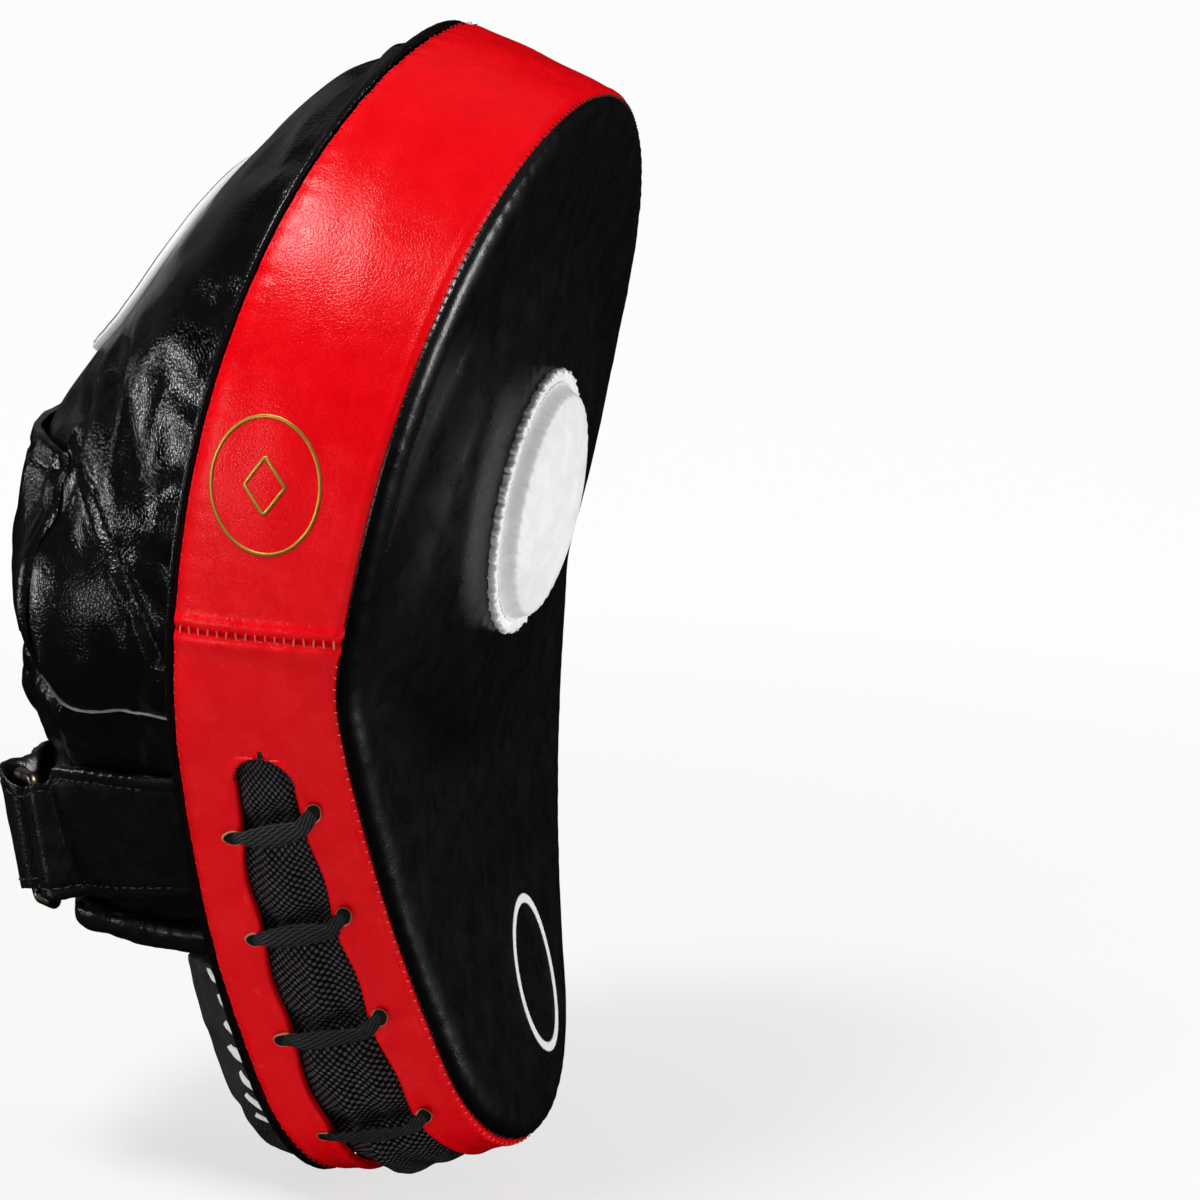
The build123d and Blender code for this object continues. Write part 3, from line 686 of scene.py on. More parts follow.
# ------------------------------------------------------------------ materials
def new_material(name, roughness=0.5, metallic=0.0, **shader):
    material = bpy.data.materials.new(name)
    material.use_nodes = True
    tree = material.node_tree
    principled = tree.nodes["Principled BSDF"]
    principled.inputs["Roughness"].default_value = roughness
    principled.inputs["Metallic"].default_value = metallic
    for key, value in shader.items():
        principled.inputs[key.replace("_", " ")].default_value = value
    return material, tree, principled


def coordinate(tree, kind="Object"):
    return tree.nodes.new("ShaderNodeTexCoord").outputs[kind]


def use_group(tree, group, vector, **values):
    node = tree.nodes.new("ShaderNodeGroup")
    node.node_tree = group
    tree.links.new(vector, node.inputs["Vector"])
    for key, value in values.items():
        node.inputs[key].default_value = value
    return node


def mix_colour(tree, factor, first, second):
    node = tree.nodes.new("ShaderNodeMix")
    node.data_type = "RGBA"
    tree.links.new(factor, node.inputs["Factor"])
    for index, value in ((6, first), (7, second)):
        if isinstance(value, tuple):
            node.inputs[index].default_value = (*value, 1.0)
        else:
            tree.links.new(value, node.inputs[index])
    return node.outputs[2]


def lighter(colour, tone):
    return tuple(min(1.0, c * tone) for c in colour)


def finish_material(parts, colour, rough, height, depth):
    """Links a material's colour, its roughness and the relief that it has by a bump."""
    material, tree, principled = parts
    node = tree.nodes.new("ShaderNodeBump")
    node.inputs["Distance"].default_value = depth * MM
    tree.links.new(height, node.inputs["Height"])
    for socket, label in ((colour, "Base Color"), (rough, "Roughness"), (node.outputs["Normal"], "Normal")):
        tree.links.new(socket, principled.inputs[label])
    return material


def leather(name, colour, valley_colour, cell, depth, rough=(0.32, 0.5), pebble=1.0, crease=0.4,
            **shader):
    parts = new_material(name, **shader)
    tree = parts[1]
    grain = use_group(tree, GRAIN, coordinate(tree), Cells=1000.0 / cell, Pebble=pebble,
                      Crease=crease)
    uneven = map_range(tree, grain.outputs["Uneven"], 0.3, 0.7)
    mottled = mix_colour(tree, uneven, colour, lighter(colour, 1.12))
    shade = math_node(tree, "MULTIPLY", grain.outputs["Valley"], 0.55 * pebble)
    return finish_material(parts, mix_colour(tree, shade, mottled, valley_colour),
                           map_range(tree, grain.outputs["Uneven"], 0.3, 0.7, *rough),
                           grain.outputs["Height"], depth)


def plain(name, colour, rough=(0.35, 0.55), scale=300.0, depth=0.05, metallic=0.0, tone=1.2,
          **shader):
    parts = new_material(name, metallic=metallic, **shader)
    tree = parts[1]
    noise = texture(tree, "Noise", coordinate(tree), scale, Detail=4.0).outputs["Fac"]
    return finish_material(parts, mix_colour(tree, noise, colour, lighter(colour, tone)),
                           map_range(tree, noise, 0.3, 0.7, *rough), noise, depth)


def cloth_material(name, colour, light, threads, depth):
    parts = new_material(name)
    tree = parts[1]
    weave = use_group(tree, WEAVE, coordinate(tree, "UV"), Threads=threads).outputs
    return finish_material(parts, mix_colour(tree, weave["Thread"], colour, light),
                           map_range(tree, weave["Height"], 0.2, 1.2, 0.6, 0.85), weave["Height"], depth)


def knit_material(name, colour, light, loops, depth):
    parts = new_material(name)
    tree = parts[1]
    knit = use_group(tree, KNIT, coordinate(tree, "UV"), Loops=loops).outputs
    # the holes between the loops take the near-black colour: painted shade of the hollow behind the mesh;
    # the loops keep the lighter grey
    return finish_material(parts, mix_colour(tree, knit["Hole"], light, colour),
                           map_range(tree, knit["Hole"], 0.0, 1.0, 0.22, 0.9), knit["Height"], depth)


def braid_material(name, colour, light, strands, half, depth):
    parts = new_material(name)
    tree = parts[1]
    braid = use_group(tree, BRAID, coordinate(tree, "UV"), Strands=strands, Half=half).outputs["Height"]
    tone = map_range(tree, braid, -1.2, 1.2)
    return finish_material(parts, mix_colour(tree, tone, colour, light),
                           map_range(tree, tone, 0.0, 1.0, 0.75, 0.5), braid, depth)


BLACK = leather("black_leather", (0.0018, 0.0018, 0.002), (0.0012, 0.0012, 0.0012), 0.8, 0.05,
                rough=(0.25, 0.33), pebble=0.4, crease=0.2, Specular_IOR_Level=0.45)
HAND = leather("hand_leather", (0.003, 0.003, 0.0034), (0.002, 0.002, 0.002), 0.95, 0.07,
               rough=(0.15, 0.24), pebble=0.8, crease=0.12, Specular_IOR_Level=0.30)
STRAP = leather("strap_leather", (0.004, 0.004, 0.0045), (0.002, 0.002, 0.002), 0.9, 0.06,
                rough=(0.22, 0.34), pebble=0.5, crease=0.5, Specular_IOR_Level=0.40)
RED = leather("red_leather", (0.77, 0.0, 0.004), (0.45, 0.0, 0.002), 0.75, 0.06,
              rough=(0.20, 0.29), pebble=0.5, crease=0.25, Specular_IOR_Level=0.21)
WHITE = leather("white_leather", (0.82, 0.82, 0.81), (0.6, 0.6, 0.59), 0.8, 0.05,
                rough=(0.45, 0.6), pebble=0.4)
RAW = plain("raw_edge", (0.34, 0.15, 0.07), scale=900.0, depth=0.2, rough=(0.8, 0.95), tone=1.8)
CUT = plain("cut_edge", (0.11, 0.105, 0.10), scale=1400.0, depth=0.2, rough=(0.8, 0.95), tone=2.2)
# near-black colour for the lace holes: painted shade where the holes would be dark
HOLE_SHADE = plain("hole_painted_shade", (0.004, 0.004, 0.004), rough=(0.8, 0.9))
THREAD = plain("black_thread", (0.012, 0.012, 0.013), scale=1500.0, rough=(0.5, 0.7), tone=1.8)
RED_THREAD = plain("red_thread", (0.55, 0.01, 0.015), scale=1500.0, rough=(0.5, 0.7))
PINK_THREAD = plain("pale_red_thread", (0.72, 0.12, 0.10), scale=1500.0, rough=(0.45, 0.6))
WHITE_THREAD = plain("white_thread", (0.7, 0.7, 0.69), scale=1500.0, rough=(0.6, 0.8))
LINING = cloth_material("lining_cloth", (0.012, 0.012, 0.013), (0.035, 0.035, 0.037), 1.3, 0.15)
HEEL = cloth_material("heel_cloth", (0.007, 0.007, 0.008), (0.022, 0.022, 0.024), 1.1, 0.15)
# the knit's holes are painted near-black: painted shade behind the mesh
MESH = knit_material("knit_mesh", (0.0008, 0.0008, 0.0008), (0.085, 0.085, 0.090), 0.50, 0.45)
LACE = braid_material("braided_lace", (0.004, 0.004, 0.004), (0.034, 0.034, 0.037), 1.0, 5.0, 0.2)
RING = plain("antique_ring", (0.085, 0.070, 0.052), scale=240.0, rough=(0.25, 0.45), metallic=1.0,
             tone=2.4)
BADGE = plain("badge_rubber", (0.009, 0.009, 0.010), scale=500.0, rough=(0.4, 0.55))
EDGING = plain("pale_edging", (0.78, 0.78, 0.76), scale=500.0, rough=(0.45, 0.6), tone=1.08)
GOLD = plain("gold_foil", (0.66, 0.36, 0.06), scale=700.0, rough=(0.3, 0.5), metallic=0.85)
PRINT = plain("white_print", (0.80, 0.80, 0.79), scale=900.0, rough=(0.5, 0.65), tone=1.05)
LOOPS = plain("loop_tape", (0.010, 0.010, 0.011), scale=1600.0, depth=0.4, rough=(0.85, 0.98),
              tone=3.0)


# ------------------------------------------------------------------ the pad: red band
def seam_u(v):
    """The outline share at which the band crosses the cross-seam's height, for each row."""
    y = face_y(SEAM_Z) + BAND_FRONT
    y = y + (back_y(SEAM_Z) - BAND_BACK - y) * np.asarray(v, float)
    return outline_at(SEAM_Z, y, OUT_S) / 2


def band_edges(u):
    return meet(u, face_y, BAND_FRONT), meet(u, back_y, -BAND_BACK)


def band_point(u, v, out=0.0):
    front, back = band_edges(u)
    p = front + (back - front) * np.asarray(v, float)[..., None]
    _, _, nx, nz = outline(u)
    normal = np.stack([nx, np.zeros_like(nx), nz], -1)
    return p + normal * np.asarray(out, float)[..., None], normal


def crown_share(u):
    """1 at the middle of the crown, 0 away from it."""
    return smooth(0.15, 0.03, np.abs((np.asarray(u) + 0.5) % 1.0 - 0.5))


def band_relief(u, v, from_seam):
    """How far the leather stands off the flat wall: its fullness, ripples, gathers and the seam's fold."""
    p, _ = band_point(u, v)
    along = np.mod(u, 1.0) * 2 * HALF_LENGTH
    first, last = band_edges(u)
    width = np.linalg.norm(last - first, axis=-1)
    front, back = v * width, (1 - v) * width
    full = 1.5 * np.sin(np.pi * np.clip(v, 0, 1))**0.7
    ripples = 0.30 * waves(sheet(along / 3.2, front), 13.0, 1.0)
    slow = 0.35 * waves(p, 42.0, 2.0)
    gathers = 0.32 * gauss(back, 5.0) * waves(sheet(along, back / 4), 4.5, 4.0)
    tuck = 0.45 * gauss(front - 1.5, 0.8) - 1.5 * gauss(front, 0.7) - 0.5 * gauss(back, 1.8)
    fold = 1.05 * gauss(from_seam - 2.2, 1.5) - 0.7 * gauss(from_seam, 0.7)
    full = full - crown_share(u) * (np.sin(np.pi * np.clip(v, 0, 1)) + 1.4 * smooth(0.5, 1.0, v))
    pull = 0.22 * gauss(from_seam, 7.0) * waves(sheet(front, from_seam / 3), 3.2, 6.0)
    return full + ripples + slow + gathers + tuck + fold + pull


def upper_band():
    rows = np.linspace(0, 1, 40)
    k = 0.5 - 0.5 * np.cos(np.pi * np.linspace(0, 1, 420))
    k = 0.55 * k + 0.45 * np.linspace(0, 1, 420)
    k, v = np.meshgrid(k, rows, indexing="ij")
    edge = seam_u(v)
    u = edge * (2 * k - 1)
    from_seam = np.minimum(k, 1 - k) * 4 * edge * HALF_LENGTH
    p, _ = band_point(u, v, band_relief(u, v, from_seam))
    return outward(grid("band_upper", p, RED, flip=True))


def slot_shape(z):
    """Middle and half width, in depth, of the vent slot at height z."""
    front = face_y(z) + SLOT_FRONT
    back = back_y(z) - SLOT_BACK
    return (front + back) / 2, (back - front) / 2


SLOT_END = slot_shape(SLOT_TOP - 11.0)[1]
SLOT_CENTRE = SLOT_TOP - SLOT_END


def slot_edges(u, wider=0.0):
    """The slot's front and back edge at u as shares of the band's width, equal above it; the height."""
    front, back = band_edges(u)
    v = np.full(np.shape(front[..., 1]), 0.5)
    for _ in range(4):
        z = front[..., 2] + (back[..., 2] - front[..., 2]) * v
        middle, half = slot_shape(z)
        span = back[..., 1] - front[..., 1]
        v = (middle - front[..., 1]) / span
    round_end = np.sqrt(np.clip((SLOT_END + wider)**2 - (z - SLOT_CENTRE)**2, 0, None))
    bow = 0.65 * (1 - np.cos(TURN * (z + 28.0) / LACE_PITCH)) * (z < -28.0)
    half = np.where(z > SLOT_CENTRE, round_end, half + wider + bow)
    return v - half / span, v + half / span, z


def slot_columns():
    """Outline shares for the lower band: close together round the slot's round ends."""
    top = seam_u(np.array(0.5))
    share = np.linspace(float(top), 0.5, 1500)
    _, _, z = slot_edges(share)
    ends = np.interp([-(SLOT_TOP + 0.05), -SLOT_CENTRE], -z, share)
    first = np.linspace(float(top), ends[0], 34, endpoint=False)
    turn = ends[0] + (ends[1] - ends[0]) * (1 - np.cos(np.linspace(0, math.pi / 2, 26, endpoint=False)))
    rest = np.linspace(ends[1], 0.5, 110)
    half = np.concatenate([first, turn, rest])
    return np.concatenate([half, 1 - half[-2::-1]])


COLUMNS = slot_columns()


def lower_band():
    top = float(seam_u(np.array(0.5)))
    near, far, _ = slot_edges(COLUMNS)
    open_here = far - near > 1e-6
    pieces = []
    for front_side in (True, False):
        rows = np.concatenate([np.linspace(0, 1, 20), [1.0, 1.0]])
        inward = np.concatenate([np.zeros(20), [0.8, 1.8]])
        if not front_side:
            rows = 1 - rows
        share, _ = np.meshgrid(rows, COLUMNS, indexing="xy")
        edge = (near if front_side else far)[:, None]
        v = edge * share if front_side else edge + (1 - edge) * share
        u = np.repeat(COLUMNS[:, None], v.shape[1], 1)
        mirror = np.where(u > 0.5, 1 - u, u)
        blend_in = 1 - smooth(top, top + 0.04, mirror)
        mirror = mirror + (seam_u(v) - top) * blend_in
        u = np.where(u > 0.5, 1 - mirror, mirror)
        from_seam = np.abs(mirror - seam_u(v)) * 2 * HALF_LENGTH
        width = np.linalg.norm(meet(u, back_y, 0) - meet(u, face_y, 0), axis=-1)
        off_edge = np.abs(v - edge) * width
        lip = 0.9 * gauss(off_edge, 3.0) - 0.5 * gauss(off_edge, 0.7) - inward[None]
        out = band_relief(u, v, from_seam) + lip * open_here[:, None]
        p, _ = band_point(u, v, out)
        pieces.append(grid("band_strip", p, RED, flip=front_side))
    return outward(weld(join("band_lower", pieces), 0.03))


def cross_seam_stitches():
    """Small ladder stitches over the seam between the two bands, on both sides."""
    rows = []
    v = np.linspace(0.04, 0.96, 17)
    for side in (1, -1):
        u = seam_u(v)
        p, n = band_point(u if side > 0 else 1 - u, v, band_relief(u, v, 0 * v + 0.3) + 0.55)
        rows.append((p, n))
    return stitch_rows("cross_seam_stitches", rows, 2.9, 0.5, PINK_THREAD, angle=90.0, sink=0.1)


def edge_stitches(name, v_line, pitch, length, width, material, out, angle, lean, spans=((0.0, 1.0),)):
    """Whip stitches along one edge of the band; lean tips them towards the face or the back."""
    rows = []
    for start, end in spans:
        count = int((end - start) * 2 * HALF_LENGTH / pitch)
        u = np.linspace(start, end, count, endpoint=False)
        v = np.full(count, v_line)
        p, n = band_point(u, v, band_relief(u, v, np.full(count, 99.0)) + out)
        rows.append((p, units(n + (0.0, lean, 0.0))))
    return stitch_rows(name, rows, length, width, material, angle=angle, sink=0.2)


def slot_stitches():
    """Overlocking round the rounded ends of the slot, its threads standing a little past the edge."""
    near, far, z = slot_edges(COLUMNS)
    rows = []
    for half in (COLUMNS < 0.5, COLUMNS > 0.5):
        chosen = np.flatnonzero(half & (far - near > 0.004) & (z > SLOT_CENTRE + 1.0))
        order = chosen[np.argsort(z[chosen])]
        u = np.concatenate([COLUMNS[order], COLUMNS[order[::-1]]])
        v = np.concatenate([near[order], far[order[::-1]]])
        for out in (1.75, 0.2):
            p, n = band_point(u, v, np.full(len(u), out))
            line = resample(p, 1.15)
            if out < 1.0:
                middle = line.mean(0)
                line = line + (middle - line) * 0.16
            normal = np.repeat(n.mean(0)[None], len(line), 0)
            rows.append((line, normal))
    return stitch_rows("slot_stitches", rows, 1.8, 0.34, THREAD, angle=84.0, sink=0.0)


# ------------------------------------------------------------------ slot: mesh, holes and laces
LACE_Z = [-25.0 - LACE_PITCH * i for i in range(4)]
LACE_DROP = 6.0                # a bar's rear hole is this much lower than its front hole


def lace_ends():
    """For each bar, the front and back hole as (depth, height)."""
    ends = []
    for z in LACE_Z:
        middle, half = slot_shape(z)
        low_middle, low_half = slot_shape(z - LACE_DROP)
        ends.append(((float(middle - half) - 2.6, z), (float(low_middle + low_half) + 2.2, z - LACE_DROP)))
    return ends


def wall_place(y, z, side, out=0.0):
    """The point of the side wall at depth y and height z, and the wall's normal there."""
    y, z = np.asarray(y, float), np.asarray(z, float)
    _, _, nx, nz = outline(outline_at(z, y, OUT_S) / 2)
    normal = np.stack([side * nx, 0 * nx, nz], -1)
    base = np.stack([side * pad_half(z, y), y, z], -1)
    return base + normal * np.asarray(out, float)[..., None], normal


def vent_mesh():
    near, far, _ = slot_edges(COLUMNS, MESH_LAP)
    keep = np.flatnonzero(far - near > 0.02)
    u = COLUMNS[keep]
    u = np.interp(np.linspace(0, 1, 420), np.linspace(0, 1, len(u)), u)
    near, far, _ = slot_edges(u, MESH_LAP)
    rows = np.linspace(0, 1, 44)
    v = near[:, None] + (far - near)[:, None] * rows[None]
    uu = np.repeat(u[:, None], len(rows), 1)
    p, _ = band_point(uu, v)
    height = p[..., 2]
    bulge = np.full(height.shape, 1.0)
    for (front_y, front_z), (rear_y, rear_z) in lace_ends():
        line = front_z + (rear_z - front_z) * (p[..., 1] - front_y) / (rear_y - front_y)
        bulge = np.minimum(bulge, 0.35 + 0.65 * smooth(0.0, 9.0, np.abs(height - line)))
    across = np.sin(np.pi * rows)[None]**0.8
    phase = 1.1 * np.sin(height / 13.0) + 0.7 * np.sin(height / 5.7 + 2.0)
    folds = np.sin(rows[None] * 13.0 + phase) + 0.6 * np.sin(rows[None] * 22.0 - 1.7 * phase)
    calm = smooth(SLOT_TOP - 1.0, SLOT_TOP - 16.0, height)
    out = (-2.9 + (4.4 + 1.9 * calm) * across * bulge + 0.8 * folds * across * calm
           + 0.25 * waves(p, 7.0, 3.0))
    p, _ = band_point(uu, v, out)
    return outward(grid("vent_mesh_cover", p, MESH, flip=True))


def lace_bar(name, side, ends, number):
    """One flat bar: out of the rear hole, over the mesh, and up into the front hole."""
    (front_y, front_z), (rear_y, rear_z) = ends
    t = np.concatenate([[-0.13, -0.1, -0.05], np.linspace(0, 1, 27), [1.04, 1.08, 1.12]])
    y = rear_y + (front_y - rear_y) * np.clip(t, -0.04, 1.04)
    z = rear_z + (front_z - rear_z) * np.clip(t, -0.04, 1.04)
    hook = 2.3 * smooth(0.86, 1.03, t) - 0.9 * smooth(0.12, -0.02, t)
    rise = 2.0 * smooth(-0.02, 0.2, t) * smooth(1.02, 0.8, t)
    sunk = -4.0 * smooth(0.0, -0.12, t) - 4.0 * smooth(1.0, 1.11, t)
    sag = 0.7 * np.sin(np.pi * np.clip(t, 0, 1)) * (1.0 if number % 2 else -0.6)
    p, n = wall_place(y, z + sag + hook, side, 1.75 + rise + sunk)
    middle = np.clip(t, 0, 1)
    lean = 0.30 * np.sin(np.pi * middle + number)
    up = n + np.cross(n, units(np.gradient(p, axis=0))) * lean[:, None]
    width = 2.5 + 3.1 * np.sin(np.pi * np.clip(middle * 0.94, 0, 1))**0.7
    return tube(name, p, up, width, 1.4, LACE, around=20, power=2.5)


def laces(side, name):
    bars = []
    for number, ends in enumerate(lace_ends()):
        bars.append(lace_bar(f"{name}_{number}", side, ends, number))
        (front_y, front_z), (rear_y, rear_z) = ends
        t = np.linspace(0.02, 0.98, 20)
        drop_by = 1.3 + 0.5 * math.sin(2.0 * number)
        p, n = wall_place(rear_y + (front_y - rear_y) * t, rear_z + (front_z - rear_z) * t - drop_by, side,
                          2.0 + 1.5 * np.sin(np.pi * t) - 3.0 * (1 - np.sin(np.pi * t)**0.3))
        bars.append(tube(f"{name}_low_{number}", p, n, 2.4, 1.5, LACE, around=14))
    return join(name, bars)


def lace_holes(side, name):
    """Each hole: the torn pale rim of the leather, and a near-black disc inside the rim as painted shade of
    the hole.
    """
    rims, hole_shades = [], []
    for number, ends in enumerate(lace_ends()):
        for end, (y, z) in enumerate(ends):
            front = end == 0
            place = (y - 0.5, z + 2.6) if front else (y, z - 0.5)
            centre, normal = wall_place(*place, side, 1.9)
            ahead = np.array([0.0, -0.25 if front else -1.0, 1.0 if front else 0.3])
            ahead = units(ahead - normal * (ahead @ normal))
            across = np.cross(normal, ahead)
            a = circle_angles(30)
            long = 2.9 + 0.25 * math.sin(number * 3 + end)
            ring = (oval(centre, ahead, across, long, 1.95, 30)
                    + normal * (0.12 * np.sin(3 * a + number))[:, None])
            thick = 0.12 + 0.46 * np.clip(np.cos(a - (math.pi if front else 2.2) + 0.4 * number), 0, 1)
            rims.append(tube(f"rim_{side}_{number}_{end}", ring, normal, thick, thick, RAW, closed=True,
                             around=8))
            # a flat near-black disc fills each hole: painted shade, not a real opening
            fan_rows = centre + (ring - centre)[:, None] * np.linspace(0.05, 1, 4)[None, :, None]
            hole_shades.append(outward(grid(f"dark_{side}_{number}_{end}", fan_rows, HOLE_SHADE, close_u=True)))
    return join(name + "_rims", rims), join(name + "_hollows", hole_shades)


# ------------------------------------------------------------------ the pad: face, bump and target
BUMP_LEAN = math.radians(7.554)
BUMP_TOP = np.array([0.0, -64.9006, 40.791])
BUMP_SPHERE = 277.8846
BUMP_BLEND = 9.0
INTO = np.array([0.0, math.cos(BUMP_LEAN), math.sin(BUMP_LEAN)])
BUMP_CENTRE = BUMP_TOP + INTO * BUMP_SPHERE


def face_surface(x, z):
    """Depth of the face with the rounded swell under the target."""
    flat = face_y(z)
    ball = BUMP_CENTRE[1] - np.sqrt(np.maximum(BUMP_SPHERE**2 - x**2 - (z - BUMP_CENTRE[2])**2, 1.0))
    h = np.clip(0.5 + (flat - ball) / BUMP_BLEND, 0, 1)
    return flat + (ball - flat) * h - BUMP_BLEND / 4 * h * (1 - h)


SHOULDER = 9.0                 # how far in from the rim the face's rounded shoulder ends
RIM = 0.75                     # how far in the shoulder starts, beside the band


def fullness(co):
    """How far the face leather stands forward of the flat face: most low down and on the thumb side."""
    around = np.linalg.norm((co - BUMP_TOP)[..., (0, 2)], axis=-1)
    low = smooth(75.0, 15.0, co[..., 2])
    thumb_side = smooth(-10.0, -60.0, co[..., 0])
    return (0.6 + 2.2 * low + 2.0 * thumb_side * (1 - low)) * smooth(33.0, 60.0, around)


def drawn_in(edge, share):
    """A ring drawn in towards the middle of the pad."""
    p = edge.copy()
    p[:, 0] = edge[:, 0] * share
    p[:, 2] = FACE_MIDDLE_Z + (edge[:, 2] - FACE_MIDDLE_Z) * share
    return p


def face_leather():
    """The striking face: its sewn-in rim, a full rounded shoulder, then rings in to the middle."""
    columns = 520
    u = once_round(columns)
    rings, insets = [], []
    for inset, depth in ((2.6, 6.0), (1.7, 4.0), (1.0, 2.4), (RIM, 1.5)):
        p = meet(u, face_y, 0.0, inset)
        p[:, 1] += depth
        rings.append(p)
        insets.append(np.full(columns, 0.0))
    for angle in np.linspace(0.06, math.pi / 2, 14):
        inset = RIM + (SHOULDER - RIM) * (1 - math.cos(angle))
        p = meet(u, face_y, 0.0, inset)
        p[:, 1] = face_surface(p[:, 0], p[:, 2]) + 1.3 - (1.3 + fullness(p)) * math.sin(angle)
        rings.append(p)
        insets.append(np.full(columns, inset))
    edge = meet(u, face_y, 0.0, SHOULDER)
    reach = np.linalg.norm((edge - (0.0, 0.0, FACE_MIDDLE_Z))[:, (0, 2)], axis=1)
    for share in np.concatenate([np.linspace(0.985, 0.06, 84), [0.02]]):
        p = drawn_in(edge, share)
        p[:, 1] = face_surface(p[:, 0], p[:, 2]) - fullness(p)
        rings.append(p)
        insets.append(SHOULDER + (1 - share) * reach)
    p = np.stack(rings, 1)
    obj = outward(grid("face_cover", p, BLACK, close_u=True), (0.0, 5.0, FACE_MIDDLE_Z))
    co = coordinates(obj)
    inset = np.stack(insets, 1).ravel()
    long = np.repeat((u * 2 * HALF_LENGTH)[:, None], p.shape[1], 1).ravel()
    around = np.linalg.norm((co - BUMP_TOP)[:, (0, 2)], axis=1)
    gathers = 0.16 * gauss(inset - 2.0, 3.0) * waves(sheet(long, inset / 3), 3.0, 9.0)
    slow = 0.22 * waves(co, 60.0, 5.0) + 0.03 * waves(co * (1, 1, 0.4), 14.0, 7.0)
    turn = np.arctan2(co[:, 0], co[:, 2] - BUMP_TOP[2])
    pull = 0.10 * waves(sheet(turn * 26, around / 9), 2.6, 3.0) * gauss(around - 37, 7)
    return push_out(obj, gathers + slow * smooth(0, 6, inset) + pull)


def target_point(radius, angle, height):
    """A point over the swell: radius and angle about the target's middle, height above the swell."""
    fall = BUMP_SPHERE - np.sqrt(BUMP_SPHERE**2 - radius**2)
    level = height - fall
    across = np.array([1.0, 0.0, 0.0])
    upward = np.array([0.0, -math.sin(BUMP_LEAN), math.cos(BUMP_LEAN)])
    return (BUMP_TOP + across * (radius * np.cos(angle))[..., None]
            + upward * (radius * np.sin(angle))[..., None] - INTO * level[..., None])


TARGET_R = 33.4
STITCH_R = 30.4                # the white stitches round the target


def target_height(r, angle):
    """Height of the white target over the face: a stitched rim, a steep flank and a full top."""
    inner = np.clip(1 - (r / STITCH_R)**2, 0, 1)
    dome = 5.6 * inner**0.32 * smooth(STITCH_R + 0.2, STITCH_R - 2.6, r)
    rim = 1.75 - 0.75 * gauss(r - STITCH_R, 0.8)
    gathers = 0.16 * np.sin(angle * 47 + 2 * np.sin(3 * angle)) + 0.10 * np.sin(angle * 83 + 1.0)
    torn = 0.22 * np.sin(angle * 61 + r) + 0.18 * np.sin(angle * 149)
    return (0.35 + rim + dome + gauss(r - STITCH_R + 2.2, 1.6) * gathers
            + smooth(STITCH_R + 0.8, TARGET_R, r) * torn)


def target_cap():
    a = circle_angles(720)
    ragged = (0.30 * np.sin(a * 37 + 1) + 0.26 * np.sin(a * 83 + 2 * np.sin(5 * a))
              + 0.22 * np.sin(a * 131 + 2) + 0.16 * np.sin(a * 211))
    r_rows = np.concatenate([np.linspace(0.0, 25.0, 16), np.linspace(25.6, TARGET_R, 26)])
    rings = []
    for r in r_rows:
        wide = r + ragged * smooth(31.6, TARGET_R, r)
        rings.append(target_point(wide, a, target_height(np.full_like(a, r), a)))
    rings.append(target_point(TARGET_R + ragged + 0.05, a, np.full_like(a, 1.0)))
    rings.append(target_point(TARGET_R + ragged - 0.3, a, np.full_like(a, 0.1)))
    obj = weld(grid("target_cover", np.stack(rings, 1), WHITE, close_u=True), 0.02)
    return outward(obj, (0.0, 0.0, 40.0))


def target_stitches():
    a = circle_angles(78)
    r = np.full_like(a, STITCH_R)
    points = target_point(r, a, target_height(r, a) + 0.15)
    normals = np.broadcast_to(-INTO, points.shape)
    return stitch_rows("target_stitches", [(points, normals)], 1.9, 0.75, WHITE_THREAD, sink=0.2)


# ------------------------------------------------------------------ welt and back panel
def welt():
    u = once_round(640)
    p = meet(u, back_y, 1.1, 1.4 + 1.9 * crown_share(u))
    _, _, nx, nz = outline(u)
    pinch = 0.18 * waves(sheet(u * 2 * HALF_LENGTH, 0 * u), 2.6, 11.0)
    up = np.stack([0 * nx, np.ones_like(nx), 0 * nz], -1)
    return tube("welt_piping", p, up, 3.4 + pinch, 2.3 + 1.2 * pinch, HAND, closed=True, around=16)


def back_panel():
    u = once_round(300)
    rings = []
    edge = meet(u, back_y, 0.0, 3.2 + 3.4 * crown_share(u))
    for share in np.linspace(1.0, 0.02, 46):
        p = drawn_in(edge, share)
        p[:, 1] = back_y(p[:, 2])
        p[:, 1] += 0.12 * waves(p, 6.0, 3.0)
        rings.append(p)
    return outward(grid("back_panel", np.stack(rings, 1), HAND, close_u=True))


# ------------------------------------------------------------------ hand compartment
KNUCKLE_Z = 54.0
HOOD_TOP = 155.06
CUFF_LOW = -64.0
CROWN = 0.13                   # share of the depth by which the compartment's back is rounded
CUFF_MARGINS = (6.0, 13.0)
COVER_HALF = 95.0              # half the width over which the hand panel's cut edge is laid out
STRAP_SEAM = 10.6              # the strap's edge seams, up and down from its middle
HOOD_PROFILE = np.array([(0.0, 64.0, 44.0), (0.2, 52.0, 46.0), (0.45, 39.0, 48.0),
                         (0.7, 27.0, 45.0), (0.86, 19.5, 32.0), (1.0, 8.5, 15.0)])
CUFF_PROFILE = np.array([(0.0, 64.0, 44.0), (0.3, 65.0, 44.0), (0.6, 63.5, 42.0),
                         (0.85, 57.5, 40.0), (1.0, 51.0, 38.0)])
HEEL_PROFILE = np.array([(0.0, 21.5, 38.0), (0.35, 21.5, 35.0), (0.7, 20.5, 27.0), (0.9, 19.0, 19.0),
                         (1.0, 15.0, 11.0)])
HEEL_TOP, HEEL_LOW = -72.3, -134.3
THUMB = np.array([-62.0, 24.0, 19.0])
THUMB_R = np.array([22.0, 22.0, 30.0])


